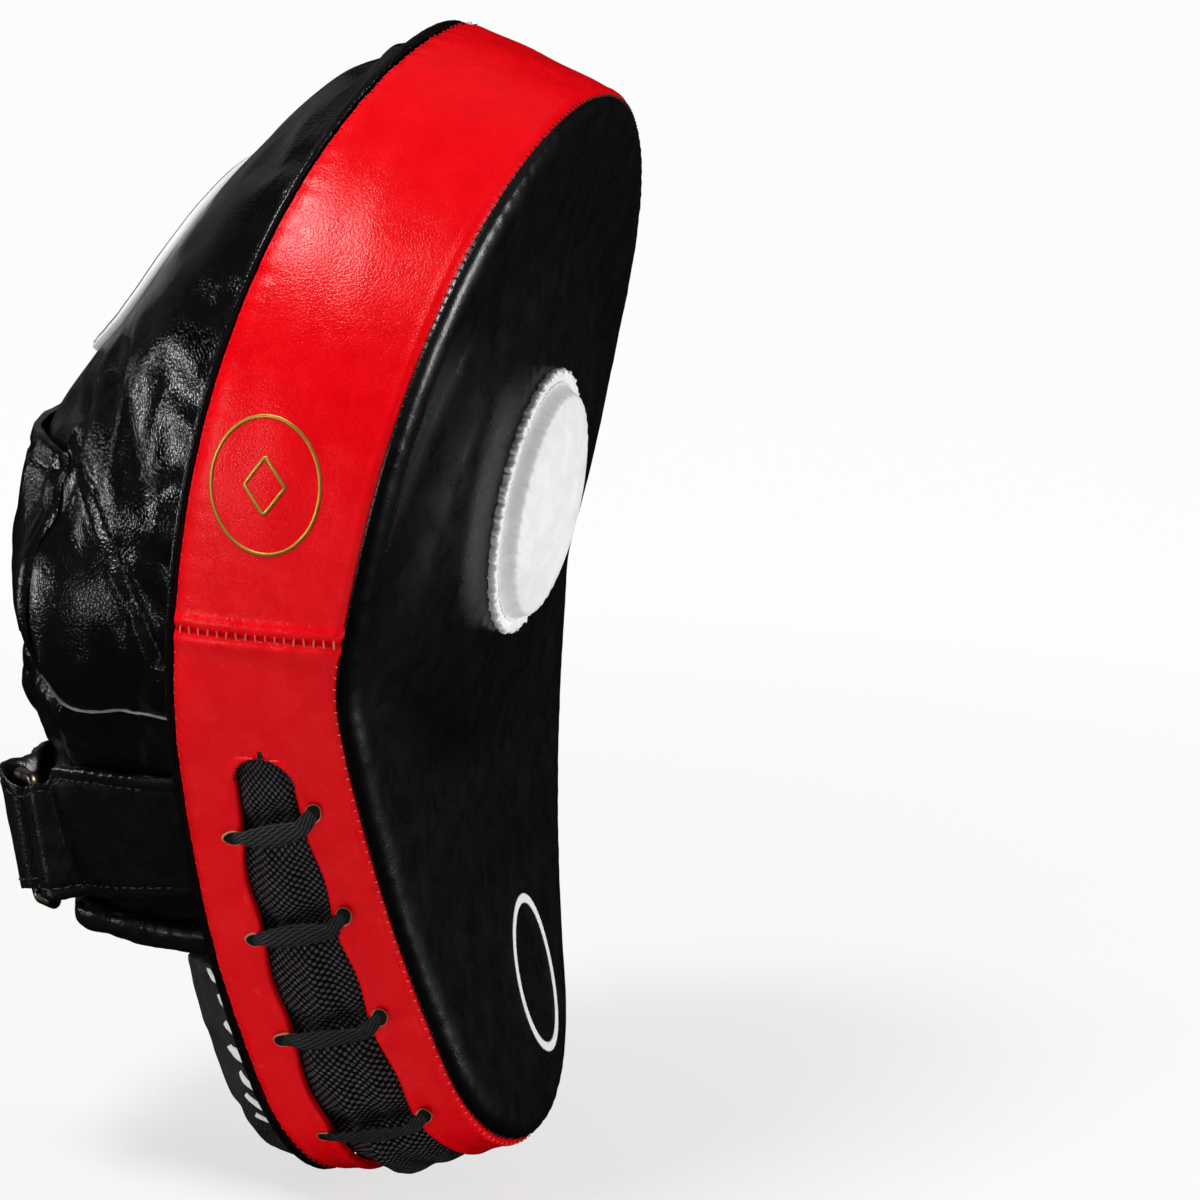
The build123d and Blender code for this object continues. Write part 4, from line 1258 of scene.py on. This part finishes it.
def arc3(a, m, b, count):
    """Points along the circle through a, m and b, from a to b."""
    a, m, b = (np.asarray(q, float) for q in (a, m, b))
    d = 2 * (a[0] * (m[1] - b[1]) + m[0] * (b[1] - a[1]) + b[0] * (a[1] - m[1]))
    if abs(d) < 1e-9:
        return a + (b - a) * np.linspace(0, 1, count)[:, None]
    sq = [q @ q for q in (a, m, b)]
    cx = (sq[0] * (m[1] - b[1]) + sq[1] * (b[1] - a[1]) + sq[2] * (a[1] - m[1])) / d
    cy = (sq[0] * (b[0] - m[0]) + sq[1] * (a[0] - b[0]) + sq[2] * (m[0] - a[0])) / d
    angles = np.unwrap([math.atan2(q[1] - cy, q[0] - cx) for q in (a, m, b)])
    t = np.linspace(angles[0], angles[2], count)
    return np.stack([cx + np.cos(t) * math.hypot(*(a - (cx, cy))),
                     cy + np.sin(t) * math.hypot(*(a - (cx, cy)))], -1)


def section(z, depth, half, margin, inset=0.0, columns=121, soft=4.0):
    """The compartment's outline at height z, from the -X base round the back to the +X base."""
    base = float(back_y(z))
    ground = np.array([max(float(pad_half(z, base)) - margin, half + 4.0) - 1.2 * inset, base])
    corner = np.array([half - 0.62 * inset, base + depth * (1 - CROWN) - 0.78 * inset])
    out = np.array([corner[1] - ground[1], ground[0] - corner[0]])
    out /= max(np.linalg.norm(out), 1e-6)
    side = arc3(ground, (corner + ground) / 2 + out * depth * 0.10, corner, 60)
    lid = arc3(corner, (0.0, base + depth - inset), corner * (-1, 1), 90)
    run = np.vstack([side, lid[1:-1], side[::-1] * (-1, 1)])[::-1]
    length = run_along(run)
    even = np.linspace(0, length[-1], columns)
    p = np.stack([np.interp(even, length, run[:, i]) for i in (0, 1)], -1)
    step = length[-1] / (columns - 1)
    relax(p, int((soft / step)**2 * 2) + 1)
    return np.stack([p[:, 0], p[:, 1], np.full(columns, z)], -1)


def cover_rows(profile, start, end, margins, heights, inset=0.0, soft=4.0, columns=121):
    rows = []
    for z in heights:
        share = (z - start) / (end - start)
        depth, half = (np.interp(share, profile[:, 0], profile[:, k]) for k in (1, 2))
        margin = margins[0] + (margins[1] - margins[0]) * np.clip(share, 0, 1)
        rows.append(section(z, depth, half, margin, inset, columns, soft))
    return relax(np.array(rows), 6)


def thumb_swell(p, n):
    """How far the thumb pouch pushes the cover out at each point."""
    q = (p - THUMB) / THUMB_R
    m = n / THUMB_R
    a, b, c = (m * m).sum(-1), (q * m).sum(-1), (q * q).sum(-1) - 1
    disc = b * b - a * c
    push = np.where(disc > 0, (-b + np.sqrt(np.maximum(disc, 0))) / np.maximum(a, 1e-9), 0)
    return np.clip(push, 0, 12)


def hand_cover():
    """Hood and hand panel: one leather over the fingers, thumb and back of the hand."""
    low = cover_rows(CUFF_PROFILE, KNUCKLE_Z, CUFF_LOW, CUFF_MARGINS, np.linspace(0.0, 50.0, 16))
    high = cover_rows(HOOD_PROFILE, KNUCKLE_Z, HOOD_TOP, (6.0, 6.0), np.linspace(54.0, 154.0, 31))
    closing = []
    for share, up in ((0.8, 0.9), (0.5, 1.7), (0.15, 2.0)):
        last = high[-1].copy()
        last[:, 2] += up
        base = back_y(last[:, 2])
        last[:, 1] = base + (last[:, 1] - base) * share
        closing.append(last)
    rows = np.concatenate([low, high, closing])
    relax(rows[:-2], 8)
    obj = outward(grid("hand_cover", rows, HAND), (0.0, -20.0, 40.0))
    push = thumb_swell(coordinates(obj), normals_of(obj)).reshape(rows.shape[:2])
    for _ in range(10):
        push[1:-1, 1:-1] = (push[:-2, 1:-1] + push[2:, 1:-1] + push[1:-1, :-2] + push[1:-1, 2:]
                            + 2 * push[1:-1, 1:-1]) / 6
    return push_out(obj, push.ravel()), rows.shape[:2]


def rest_point(rows, z, share):
    """A place on the unpuffed cover at height z, share of the way round it."""
    nz, nc = rows.shape[:2]
    row = float(np.interp(z, rows[:, nc // 2, 2], np.arange(nz)))
    i = int(min(row, nz - 2))
    column = share * (nc - 1)
    j = int(min(column, nc - 2))
    line = rows[i] * (1 - row + i) + rows[i + 1] * (row - i)
    return line[j] * (1 - column + j) + line[j + 1] * (column - j)


def near_lines(co, lines, reach):
    """Distance from each point to the nearest of some lines, up to reach."""
    near = np.full(len(co), 1e3)
    for line in lines:
        dense = resample(line, 0.7)
        inside = np.flatnonzero(np.all((co > dense.min(0) - reach) & (co < dense.max(0) + reach), axis=1))
        for first in range(0, len(dense), 48):
            block = dense[first:first + 48]
            gap = np.linalg.norm(co[inside, None] - block[None], axis=2).min(1)
            near[inside] = np.minimum(near[inside], gap)
    return near


def press_lines(obj, lines, depth, pucker, width=1.3):
    """Draws sewn valleys into a surface along lines of points, with puckers beside them."""
    co = coordinates(obj)
    near = near_lines(co, lines, 4 * width + 6)
    valley = 0.5 * gauss(near - 2.4 * width, width) - gauss(near, width)
    puckers = gauss(near - 2.6 * width, 1.6 * width) * waves(co, 3.0, 5.0)
    return push_out(obj, depth * valley + pucker * puckers)


def carry(obj, rest, final):
    """Moves a piece that lies on a cover by as much as the cover swelled beneath it."""
    tree = KDTree(len(rest))
    for index, point in enumerate(rest):
        tree.insert(point, index)
    tree.balance()
    co = coordinates(obj)
    moved = np.zeros_like(co)
    for i, point in enumerate(co):
        found = tree.find_n(point, 6)
        weight = np.array([1.0 / (distance + 0.5) for _, _, distance in found])
        step = np.array([final[index] - rest[index] for _, index, _ in found])
        moved[i] = (step * weight[:, None]).sum(0) / weight.sum()
    set_coordinates(obj, co + moved)
    return obj


# seams of the cover: height, and the share of the way round it from the -X base to the +X base
SEAM_LONG = np.array([(12.0, 0.033), (18.0, 0.048), (26.0, 0.070), (34.0, 0.098), (41.0, 0.125),
                      (49.0, 0.168), (58.0, 0.255)])
SEAM_FLAP = np.array([(-9.0, 0.178), (12.0, 0.180), (26.0, 0.188), (37.0, 0.208),
                      (46.0, 0.228), (54.0, 0.250)])


def both_sides(seam):
    other = seam.copy()
    other[:, 1] = 1 - other[:, 1]
    return [seam, other]


def edge_drop(share):
    """How far below its nominal height the cut edge of the hand panel hangs at each place."""
    side = np.minimum(share, 1 - share)
    ragged = 0.4 * np.sin(share * 90.0) + 0.3 * np.sin(share * 217.0 + 1.0)
    return 3.6 + 0.8 * smooth(0.0, 0.08, side) - 10.4 * smooth(0.07, 0.20, side) + ragged


def across_cover(x):
    """Share of the way across the hand panel, from the -X side."""
    return np.clip((x + COVER_HALF) / (2 * COVER_HALF), 0, 1)


def hood_folds(co):
    """Long soft folds down the sides of the hood, and smaller drags near the knuckles."""
    side = smooth(20.0, 45.0, np.abs(co[:, 0]))
    middle = gauss(co[:, 2] - 45.0, 48.0)
    long = waves(co * (1.0, 1.0, 0.16) + (0.0, 0.0, 3.0), 7.5, 3.0)
    cross = waves(co * (0.5, 0.5, 1.0), 10.0, 7.0)
    return (0.85 * long * side * middle + 0.28 * cross * smooth(40.0, 5.0, co[:, 2])
            + 0.25 * waves(co * (1, 1, 0.5), 17.0, 1.0))


def cuff_cover():
    heights = np.linspace(CUFF_LOW, 15.0, 48)
    rows = cover_rows(CUFF_PROFILE, KNUCKLE_Z, CUFF_LOW, CUFF_MARGINS, heights, inset=1.6)
    obj = outward(grid("cuff_cover", rows, HAND), (0.0, 10.0, -30.0))
    z = rows[..., 2]
    under_strap = smooth(-72.0, -64.0, z) * smooth(-27.0, -34.0, z)
    cap = (3.6 - 3.4 * under_strap) * smooth(7.0, -4.0, z) + 0.15
    puff(obj, pinned_rim(z.shape).ravel(), grow=0.05, cap=cap.ravel()[:, None], frames=24)
    subdivide(obj, 2)
    co, n = coordinates(obj), normals_of(obj)
    bare = 1 - smooth(-72.0, -62.0, co[:, 2]) * smooth(-29.0, -35.0, co[:, 2])
    slanted = waves(co * (0.55, 0.55, 1.2) + (0, 0, 2.0), 8.5, 2.0)
    co[:, 1] += 4.6 * gauss(co[:, 2] + 12.0, 13.0) * smooth(15.0, 40.0, co[:, 1])
    relief = (0.75 * slanted + 0.2 * waves(co, 4.5, 8.0)) * bare - 0.8 * smooth(-60, -66, co[:, 2])
    set_coordinates(obj, co + n * relief[:, None])
    return obj


def heel_cover():
    heights = np.concatenate([np.linspace(HEEL_TOP, HEEL_TOP - 2.0, 4),
                              np.linspace(HEEL_TOP - 3.5, HEEL_LOW, 34)])
    rows = cover_rows(HEEL_PROFILE, HEEL_TOP, HEEL_LOW, (7.0, 7.0), heights, soft=5.0, columns=91)
    base = back_y(rows[..., 2])
    keep = np.sqrt(np.clip(1 - smooth(HEEL_TOP - 3.0, HEEL_TOP, rows[..., 2])**2, 0.0, 1))
    tip = np.sqrt(np.clip(1 - smooth(HEEL_LOW + 7.0, HEEL_LOW - 0.5, rows[..., 2])**2, 0.0, 1))
    rows[..., 1] = base + (rows[..., 1] - base) * np.minimum(keep, tip)
    obj = outward(grid("heel_cover", rows, HEEL), (0.0, -5.0, -100.0))
    puff(obj, pinned_rim(rows.shape[:2], 2).ravel(), grow=0.03, cap=2.5)
    return subdivide(push_out(obj, 0.35 * waves(coordinates(obj), 9.0, 4.0) - 0.6))


def flap_cover(rows, tree):
    """The flap over the knuckles: sewn down at its sides, standing a little proud along its top."""
    z = np.concatenate([np.linspace(2.0, 52.0, 46), [53.0, 53.8, 54.2]])
    way = np.linspace(0.0, 1.0, 120)
    base, out = np.zeros((len(z), len(way), 3)), np.zeros((len(z), len(way), 3))
    for i, height in enumerate(z):
        edge = float(np.interp(height, SEAM_FLAP[:, 0], SEAM_FLAP[:, 1]))
        line = [rest_point(rows, height, edge + (1 - 2 * edge) * k) for k in way]
        base[i], out[i] = drop(tree, line)
    out = units(relax(out, 6))
    side = np.minimum(way, 1 - way)[None] * 170.0
    top = (z[-1] - z)[:, None]
    height = 0.3 + 2.5 * (1 - np.exp(-side / 2.6)) + 0.7 * np.exp(-top / 6.0) * smooth(0.0, 7.0, side)
    height = height - 0.8 * gauss(side - 5.0, 1.1) - 0.7 * gauss(top - 5.0, 1.0)
    height = height * smooth(0.0, 0.5, top + 0.25)
    p = base + out * height[..., None]
    p += out * (0.45 * waves(p, 15.0, 6.0) + 0.12 * waves(p, 5.0, 2.0))[..., None]
    return outward(grid("flap_cover", p, HAND), (0.0, 0.0, 20.0))


def strap_relief(co):
    """Wrinkles of a worn strap, and the pressed lines of its edge seams."""
    level = co @ BAR - STRAP_LEVEL
    seam = -0.35 * gauss(np.abs(level) - STRAP_SEAM, 0.55)
    drag = waves(co * (0.6, 0.6, 1.0), 6.0, 4.0) * 0.28 + waves(co, 3.2, 2.0) * 0.10
    fold = waves(np.stack([co[:, 0] * 0.3, co[:, 1] * 0.3, level], -1), 3.8, 6.0) * 0.22
    at_ring = smooth(13.0, 8.0, np.linalg.norm((co - RING_PLACE)[:, :2], axis=1))
    return (seam + drag + fold + 0.35) * (1 - at_ring) - 0.35 * at_ring


def widen_strap(obj):
    """Both edges of the strap spread a little once they are clear of the ring, the upper one more."""
    co = coordinates(obj)
    level = co @ BAR - STRAP_LEVEL
    away = np.linalg.norm((co - RING_PLACE)[:, :2], axis=1)
    clear = smooth(5.0, 15.0, away)
    upper, lower = smooth(0.0, 12.0, level), smooth(0.0, -12.0, level)
    spread = (3.4 + 2.6 * smooth(60.0, 20.0, away)) * upper - 1.5 * lower
    set_coordinates(obj, co + BAR * (spread * clear)[:, None])


def strap_stitches(name, obj):
    """Stitching along both long edges of a strap piece."""
    tree = tree_of(obj)
    rows = []
    for level in (-STRAP_SEAM, STRAP_SEAM):
        found = []
        for angle in np.radians(np.linspace(8.0, 172.0, 330)):
            away = np.array([-math.cos(angle), math.sin(angle), 0.0])
            away = units(away - BAR * (away @ BAR))
            start = BAR * (STRAP_LEVEL + level - BAR[1] * 10.0) + (0.0, 10.0, 0.0) + away * 140
            place, normal, _, _ = tree.ray_cast(Vector(start) * MM, Vector(-away), 0.14)
            if place is not None and np.dot(normal, away) > 0.25:
                found.append(np.array(place) / MM)
        if len(found) > 8:
            points = np.array(found)
            jumps = np.flatnonzero(np.linalg.norm(np.diff(points, axis=0), axis=1) > 6.0) + 1
            for part in np.split(points, jumps):
                if len(part) > 4:
                    line = resample(part, 3.1)
                    rows.append((line, drop(tree, line)[1]))
    return stitch_rows(name, rows, 2.2, 0.45, THREAD, sink=0.1)


# ------------------------------------------------------------------ plain printed marks
def mark_line(name, path, width, material, tree, closed=False):
    """A thin printed line laid on a surface along a path of points."""
    line, normals = drop(tree, resample(path, 0.9, closed), lift=MARK_LIFT)
    return tube(name, line, normals, width, 0.22, material, closed=closed, around=6, power=4.0)


# ------------------------------------------------------------------ put the pieces together
upper = wear_piece(upper_band(), nodes=("gusset_upper",))
wear_piece(lower_band(), nodes=("gusset_lower",))
wear_piece(cross_seam_stitches())
side_seam = float(seam_u(np.array(0.0))) + 0.004
wear_piece(edge_stitches("face_edge_stitches", 0.012, 3.1, 0.9, 0.32, PINK_THREAD, 0.75, 62.0, -1.1,
                         spans=((side_seam, 1 - side_seam),)))
wear_piece(edge_stitches("face_edge_knots", 0.0, 2.6, 1.2, 0.42, THREAD, 0.7, -40.0, -1.6))
wear_piece(edge_stitches("welt_edge_stitches", 0.99, 3.3, 1.0, 0.32, RED_THREAD, 0.35, 50.0, 0.5))
wear_piece(vent_mesh(), nodes=("vent_mesh",))
wear_piece(slot_stitches())
for side, label in ((-1, "thumb"), (1, "far")):
    wear_piece(laces(side, "lace_" + label), nodes=(f"lace_{label}_side",))
    for piece in lace_holes(side, "hole_" + label):
        wear_piece(piece)
face = wear_piece(face_leather(),
                  nodes=("face_leather", "strike_foam", "core_foam", "back_board"))
wear_piece(target_cap(), nodes=("target_leather", "target_foam"))
wear_piece(target_stitches())
wear_piece(welt(), nodes=("back_welt",))
wear_piece(back_panel(), nodes=("back_leather",))

cover, cover_shape = hand_cover()
cover_rest = coordinates(cover).reshape(*cover_shape, 3)
seam_list = both_sides(SEAM_LONG)
pins = pinned_rim(cover_shape)
for seam in seam_list:
    for i, z in enumerate(cover_rest[:, cover_shape[1] // 2, 2]):
        if seam[0, 0] <= z <= seam[-1, 0]:
            pins[i, int(round(np.interp(z, seam[:, 0], seam[:, 1]) * (cover_shape[1] - 1)))] = 0.9
puff(cover, pins.ravel(), pressure=4.0, grow=0.035, cap=4.5, frames=24)
cover_final = coordinates(cover)
rest_flat = cover_rest.reshape(-1, 3)
subdivide(cover, 2)
co, n = coordinates(cover), normals_of(cover)
co = co + n * hood_folds(co)[:, None]
co[:, 2] -= edge_drop(across_cover(co[:, 0])) * smooth(26.0, 2.0, co[:, 2])
set_coordinates(cover, co)
seam_lines = []
for seam in seam_list:
    rough = curve_through([rest_point(cover_rest, z, share) for z, share in seam])
    seam_lines.append(drop(tree_of(cover), resample(rough, 2.0))[0])
press_lines(cover, seam_lines, 1.1, 0.22)
wear_piece(cover,
           nodes=("hood_shell", "hand_shell", "hood_foam", "thumb_pouch"))
cover_tree = tree_of(cover)
stitched = [drop(cover_tree, resample(line, 2.6)) for line in seam_lines]
wear_piece(stitch_rows("cover_stitches", stitched, 1.9, 0.6, THREAD, sink=0.1))

edge_points = []
for share in np.linspace(0.012, 0.988, 200):
    point = rest_point(cover_rest, 0.0, share)
    point[2] -= float(edge_drop(across_cover(point[0])))
    edge_points.append(point)
edge_line, edge_normal = drop(cover_tree, edge_points)
edge_size = 0.55 + 0.25 * np.sin(np.arange(len(edge_line)) * 1.9)
wear_piece(tube("panel_cut_edge", edge_line, edge_normal, edge_size, 1.3, CUT, around=8))

wear_piece(cuff_cover(), nodes=("cuff_shell", "cuff_foam"))
heel = wear_piece(heel_cover(), nodes=("heel_panel", "heel_foam"))
wear_piece(flap_cover(cover_rest, cover_tree), nodes=("knuckle_flap",))

hem = soften("cuff_hem", "cuff_hem_roll", STRAP, voxel=0.9, rounds=18,
             relief=lambda c: 1.3 + 0.8 * waves(c * (1.0, 1.0, 0.6), 14.0, 6.0) + 0.25 * waves(c, 5.0, 1.0))
wear_piece(hem, nodes=("cuff_hem",))
patch = carry(soften("hood_badge", "badge_patch", BADGE, voxel=0.7, rounds=5), rest_flat, cover_final)
wear_piece(patch, nodes=("hood_badge",))
badge_path = oval((0.0, 30.0, 99.0), (1, 0, 0), (0, -0.35, 0.94), 50.5, 30.5, 160)
ring_line, ring_out = drop(cover_tree, badge_path, direction=(0.0, -0.94, -0.35))
edging = tube("badge_ring_outer", ring_line + ring_out * 0.7, ring_out, 2.9, 2.6, EDGING, closed=True,
              around=12, power=3.0)
groove = tube("badge_ring_line", ring_line + ring_out * 1.95, ring_out, 0.6, 0.5, BADGE, closed=True,
              around=6)
wear_piece(join("badge_ring", [edging, groove]), nodes=("badge_edging",))

BAR = np.array([0.0, 0.195946, 0.980615])
RING_PLACE = np.array([-43.0, 50.7, -47.8])
STRAP_LEVEL = float(RING_PLACE @ BAR)
for node, name, body in (("ring_tab", "ring_tab_leather", "mitt"),
                         ("wrist_strap", "wrist_strap_leather", "mitt"),
                         ("strap_tail", "strap_tail_leather", "tail")):
    piece = soften(node, name, STRAP, voxel=0.6, rounds=5, relief=strap_relief)
    sewn = strap_stitches(name + "_stitches", piece)
    if body == "mitt":
        widen_strap(piece)
        widen_strap(sewn)
    wear_piece(piece, body=body, nodes=(node,))
    wear_piece(sewn, body=body)
for node, name, material, slot_name, body in (
        ("loop_patch", "loop_patch_tape", LOOPS, "loop_tape", "mitt"),
        ("hook_patch", "hook_patch_tape", LOOPS, "hook_tape", "tail"),
        ("palm_ball", "palm_ball_cover", BLACK, "black_leather", "mitt"),
        ("palm_lining", "palm_cloth", LINING, "lining", "mitt"),
        ("cuff_lining", "cuff_cloth", LINING, "lining", "mitt"),
        ("hood_lining", "hood_cloth", LINING, "lining", "mitt")):
    piece = soften(node, name, material, voxel=1.4 if "lining" in node else 0.7, rounds=4)
    wear_piece(piece, body=body, nodes=(node,))
only_material(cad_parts["strap_ring"], RING)

# plain marks: a gold oval with a small diamond on the band, a white oval on the face, bars on the heel
band_tree = tree_of(upper)
stamp, _ = wall_place(-27.5, 59.5, -1)
stamp_lines = [
    mark_line(name, oval(stamp, (0, 1, 0), (0, 0, 1), wide, tall, count), 1.0, GOLD, band_tree, closed=True)
    for name, wide, tall, count in (("stamp_oval", 13.5, 16.5, 90), ("stamp_diamond", 5.0, 7.0, 4))]
wear_piece(join("band_stamp", stamp_lines))
mark_path = oval((20.0, 0.0, -86.0), (1, 0, 0), (0, 0, 1), 14.0, 19.0)
mark_path[:, 1] = face_surface(mark_path[:, 0], mark_path[:, 2]) - fullness(mark_path) - 1.0
wear_piece(mark_line("face_mark", mark_path, 2.6, PRINT, tree_of(face), closed=True))
heel_tree = tree_of(heel)
bars = []
for k in range(7):
    middle = np.array([-50.0 + 2.9 * k, 2.0 - 1.7 * k, -78.0 - 6.8 * k])
    step = np.array([0.35, -1.0, -0.30])
    ends = [middle - 3.3 * step, middle + 3.3 * step]
    bars.append(mark_line(f"heel_bar_{k}", ends, 3.0, PRINT, heel_tree))
wear_piece(join("heel_bars", bars))

# ------------------------------------------------------------------ floor, light and camera
def blend_shaders(tree, share, first, second, output):
    """Shows the second shader by a share, and the first for the rest."""
    node = tree.nodes.new("ShaderNodeMixShader")
    for index, socket in enumerate((share, first, second)):
        tree.links.new(socket, node.inputs[index])
    tree.links.new(node.outputs[0], tree.nodes[output].inputs["Surface"])


def flat_mesh(name, corners, material):
    """One four-cornered sheet, its corners in metres."""
    mesh = bpy.data.meshes.new(name)
    mesh.from_pydata(corners, [], [(0, 1, 2, 3)])
    mesh.materials.append(material)
    return new_object(name, mesh)


def level_corners(half, height):
    return [(-half, -half, height), (half, -half, height), (half, half, height), (-half, half, height)]


floor_material, floor_tree, floor_shader = new_material("floor_paper", roughness=0.9,
                                                        Specular_IOR_Level=0.0)
floor_noise = texture(floor_tree, "Noise", coordinate(floor_tree), 30.0, Detail=3.0)
floor_tree.links.new(mix_colour(floor_tree, floor_noise.outputs["Fac"], (0.86, 0.86, 0.86),
                                (0.88, 0.88, 0.88)), floor_shader.inputs["Base Color"])
glow = floor_tree.nodes.new("ShaderNodeEmission")
glow.inputs["Color"].default_value = (1.0, 1.0, 1.0, 1.0)
glow.inputs["Strength"].default_value = 1.0
path = floor_tree.nodes.new("ShaderNodeLightPath")
seen = math_node(floor_tree, "MAXIMUM", path.outputs["Is Camera Ray"], path.outputs["Is Glossy Ray"])
seen = math_node(floor_tree, "MAXIMUM", seen, path.outputs["Is Transmission Ray"])
away = vector_node(floor_tree, "LENGTH", coordinate(floor_tree), None)
far_off = map_range(floor_tree, away, 0.10, 0.75, 0.68, 0.97)
share = math_node(floor_tree, "MULTIPLY", seen, far_off)
blend_shaders(floor_tree, share, floor_shader.outputs[0], glow.outputs[0], "Material Output")
floor_level = cad_box[0][2] - 0.0015
floor = flat_mesh("floor", level_corners(9.0, floor_level), floor_material)

world = bpy.data.worlds.new("studio")
world.use_nodes = True
world_nodes = world.node_tree.nodes
background = world_nodes["Background"]
background.inputs["Color"].default_value = (1.0, 1.0, 1.0, 1.0)
background.inputs["Strength"].default_value = 0.14
backdrop = world_nodes.new("ShaderNodeBackground")
backdrop.inputs["Color"].default_value = (1.0, 1.0, 1.0, 1.0)
world_path = world_nodes.new("ShaderNodeLightPath")
blend_shaders(world.node_tree, world_path.outputs["Is Camera Ray"], background.outputs[0],
              backdrop.outputs[0], "World Output")
bpy.context.scene.world = world


def softbox(name, place, aim, size, power):
    light = bpy.data.lights.new(name, "AREA")
    light.shape = "RECTANGLE"
    light.size, light.size_y = size
    light.energy = power
    obj = new_object(name, light)
    obj.location = place
    obj.rotation_euler = (Vector(aim) - Vector(place)).to_track_quat("-Z", "Y").to_euler()


def black_card(name, corners):
    """A card beside the set that only darkens what the leather mirrors."""
    obj = flat_mesh(name, corners, CARD)
    obj.visible_camera = obj.visible_diffuse = obj.visible_shadow = obj.visible_transmission = False


def standing(first, second, low, high):
    """Corners of an upright card over the line from one place on the floor to another."""
    return [(*first, low), (*second, low), (*second, high), (*first, high)]


CARD = plain("black_card", (0.004, 0.004, 0.004), rough=(0.9, 0.95), Specular_IOR_Level=0.0)
card_low = floor_level + 0.0005
black_card("card_floor", level_corners(8.0, card_low))
black_card("card_right", standing((0.42, -1.0), (0.42, 0.2), card_low, 0.45))
black_card("card_back", standing((-2.6, 1.9), (1.6, 1.9), card_low, 2.2))
black_card("card_left", standing((-2.6, -0.6), (-2.6, 1.9), card_low, 2.2))

AZ, EL, ROLL = math.radians(-73.69), math.radians(12.08), math.radians(1.86)
LOOK_AT = Vector((0.0, FACE_Y0 * MM, 0.0))
back_way = Vector((math.sin(AZ) * math.cos(EL), -math.cos(AZ) * math.cos(EL), math.sin(EL)))
right_way = Vector((math.cos(AZ), math.sin(AZ), 0.0))
up_way = back_way.cross(right_way)
right_way, up_way = (right_way * math.cos(ROLL) + up_way * math.sin(ROLL),
                     up_way * math.cos(ROLL) - right_way * math.sin(ROLL))
CAMERA_AWAY = 1.6
place = LOOK_AT + back_way * CAMERA_AWAY
aim = LOOK_AT + right_way * 0.0356 + up_way * 0.0136
camera_data = bpy.data.cameras.new("camera")
camera_data.lens = 190.0
camera_data.sensor_width = 36.0
camera = new_object("camera", camera_data)
depth_way = (place - aim).normalized()
side_way = (right_way - depth_way * right_way.dot(depth_way)).normalized()
top_way = depth_way.cross(side_way)
view_turn = Matrix((side_way, top_way, depth_way)).transposed().to_4x4()
camera.matrix_world = Matrix.Translation(place) @ view_turn
bpy.context.scene.camera = camera

centre = Vector((0.0, -0.01, 0.01))
softbox("key", centre + back_way * 0.80 + up_way * 1.15 - right_way * 0.40, centre, (0.40, 0.40), 19.0)
softbox("strip", centre + Vector((0.10, 1.15, -0.03)), centre, (0.06, 0.34), 2.6)
softbox("front", centre + Vector((0.30, -1.05, 0.10)), centre, (0.16, 0.60), 8.0)
softbox("side", centre + Vector((-0.95, 0.55, 0.02)), centre, (0.07, 0.40), 1.7)

bpy.context.scene.view_settings.view_transform = "Standard"
bpy.context.scene.view_settings.look = "None"
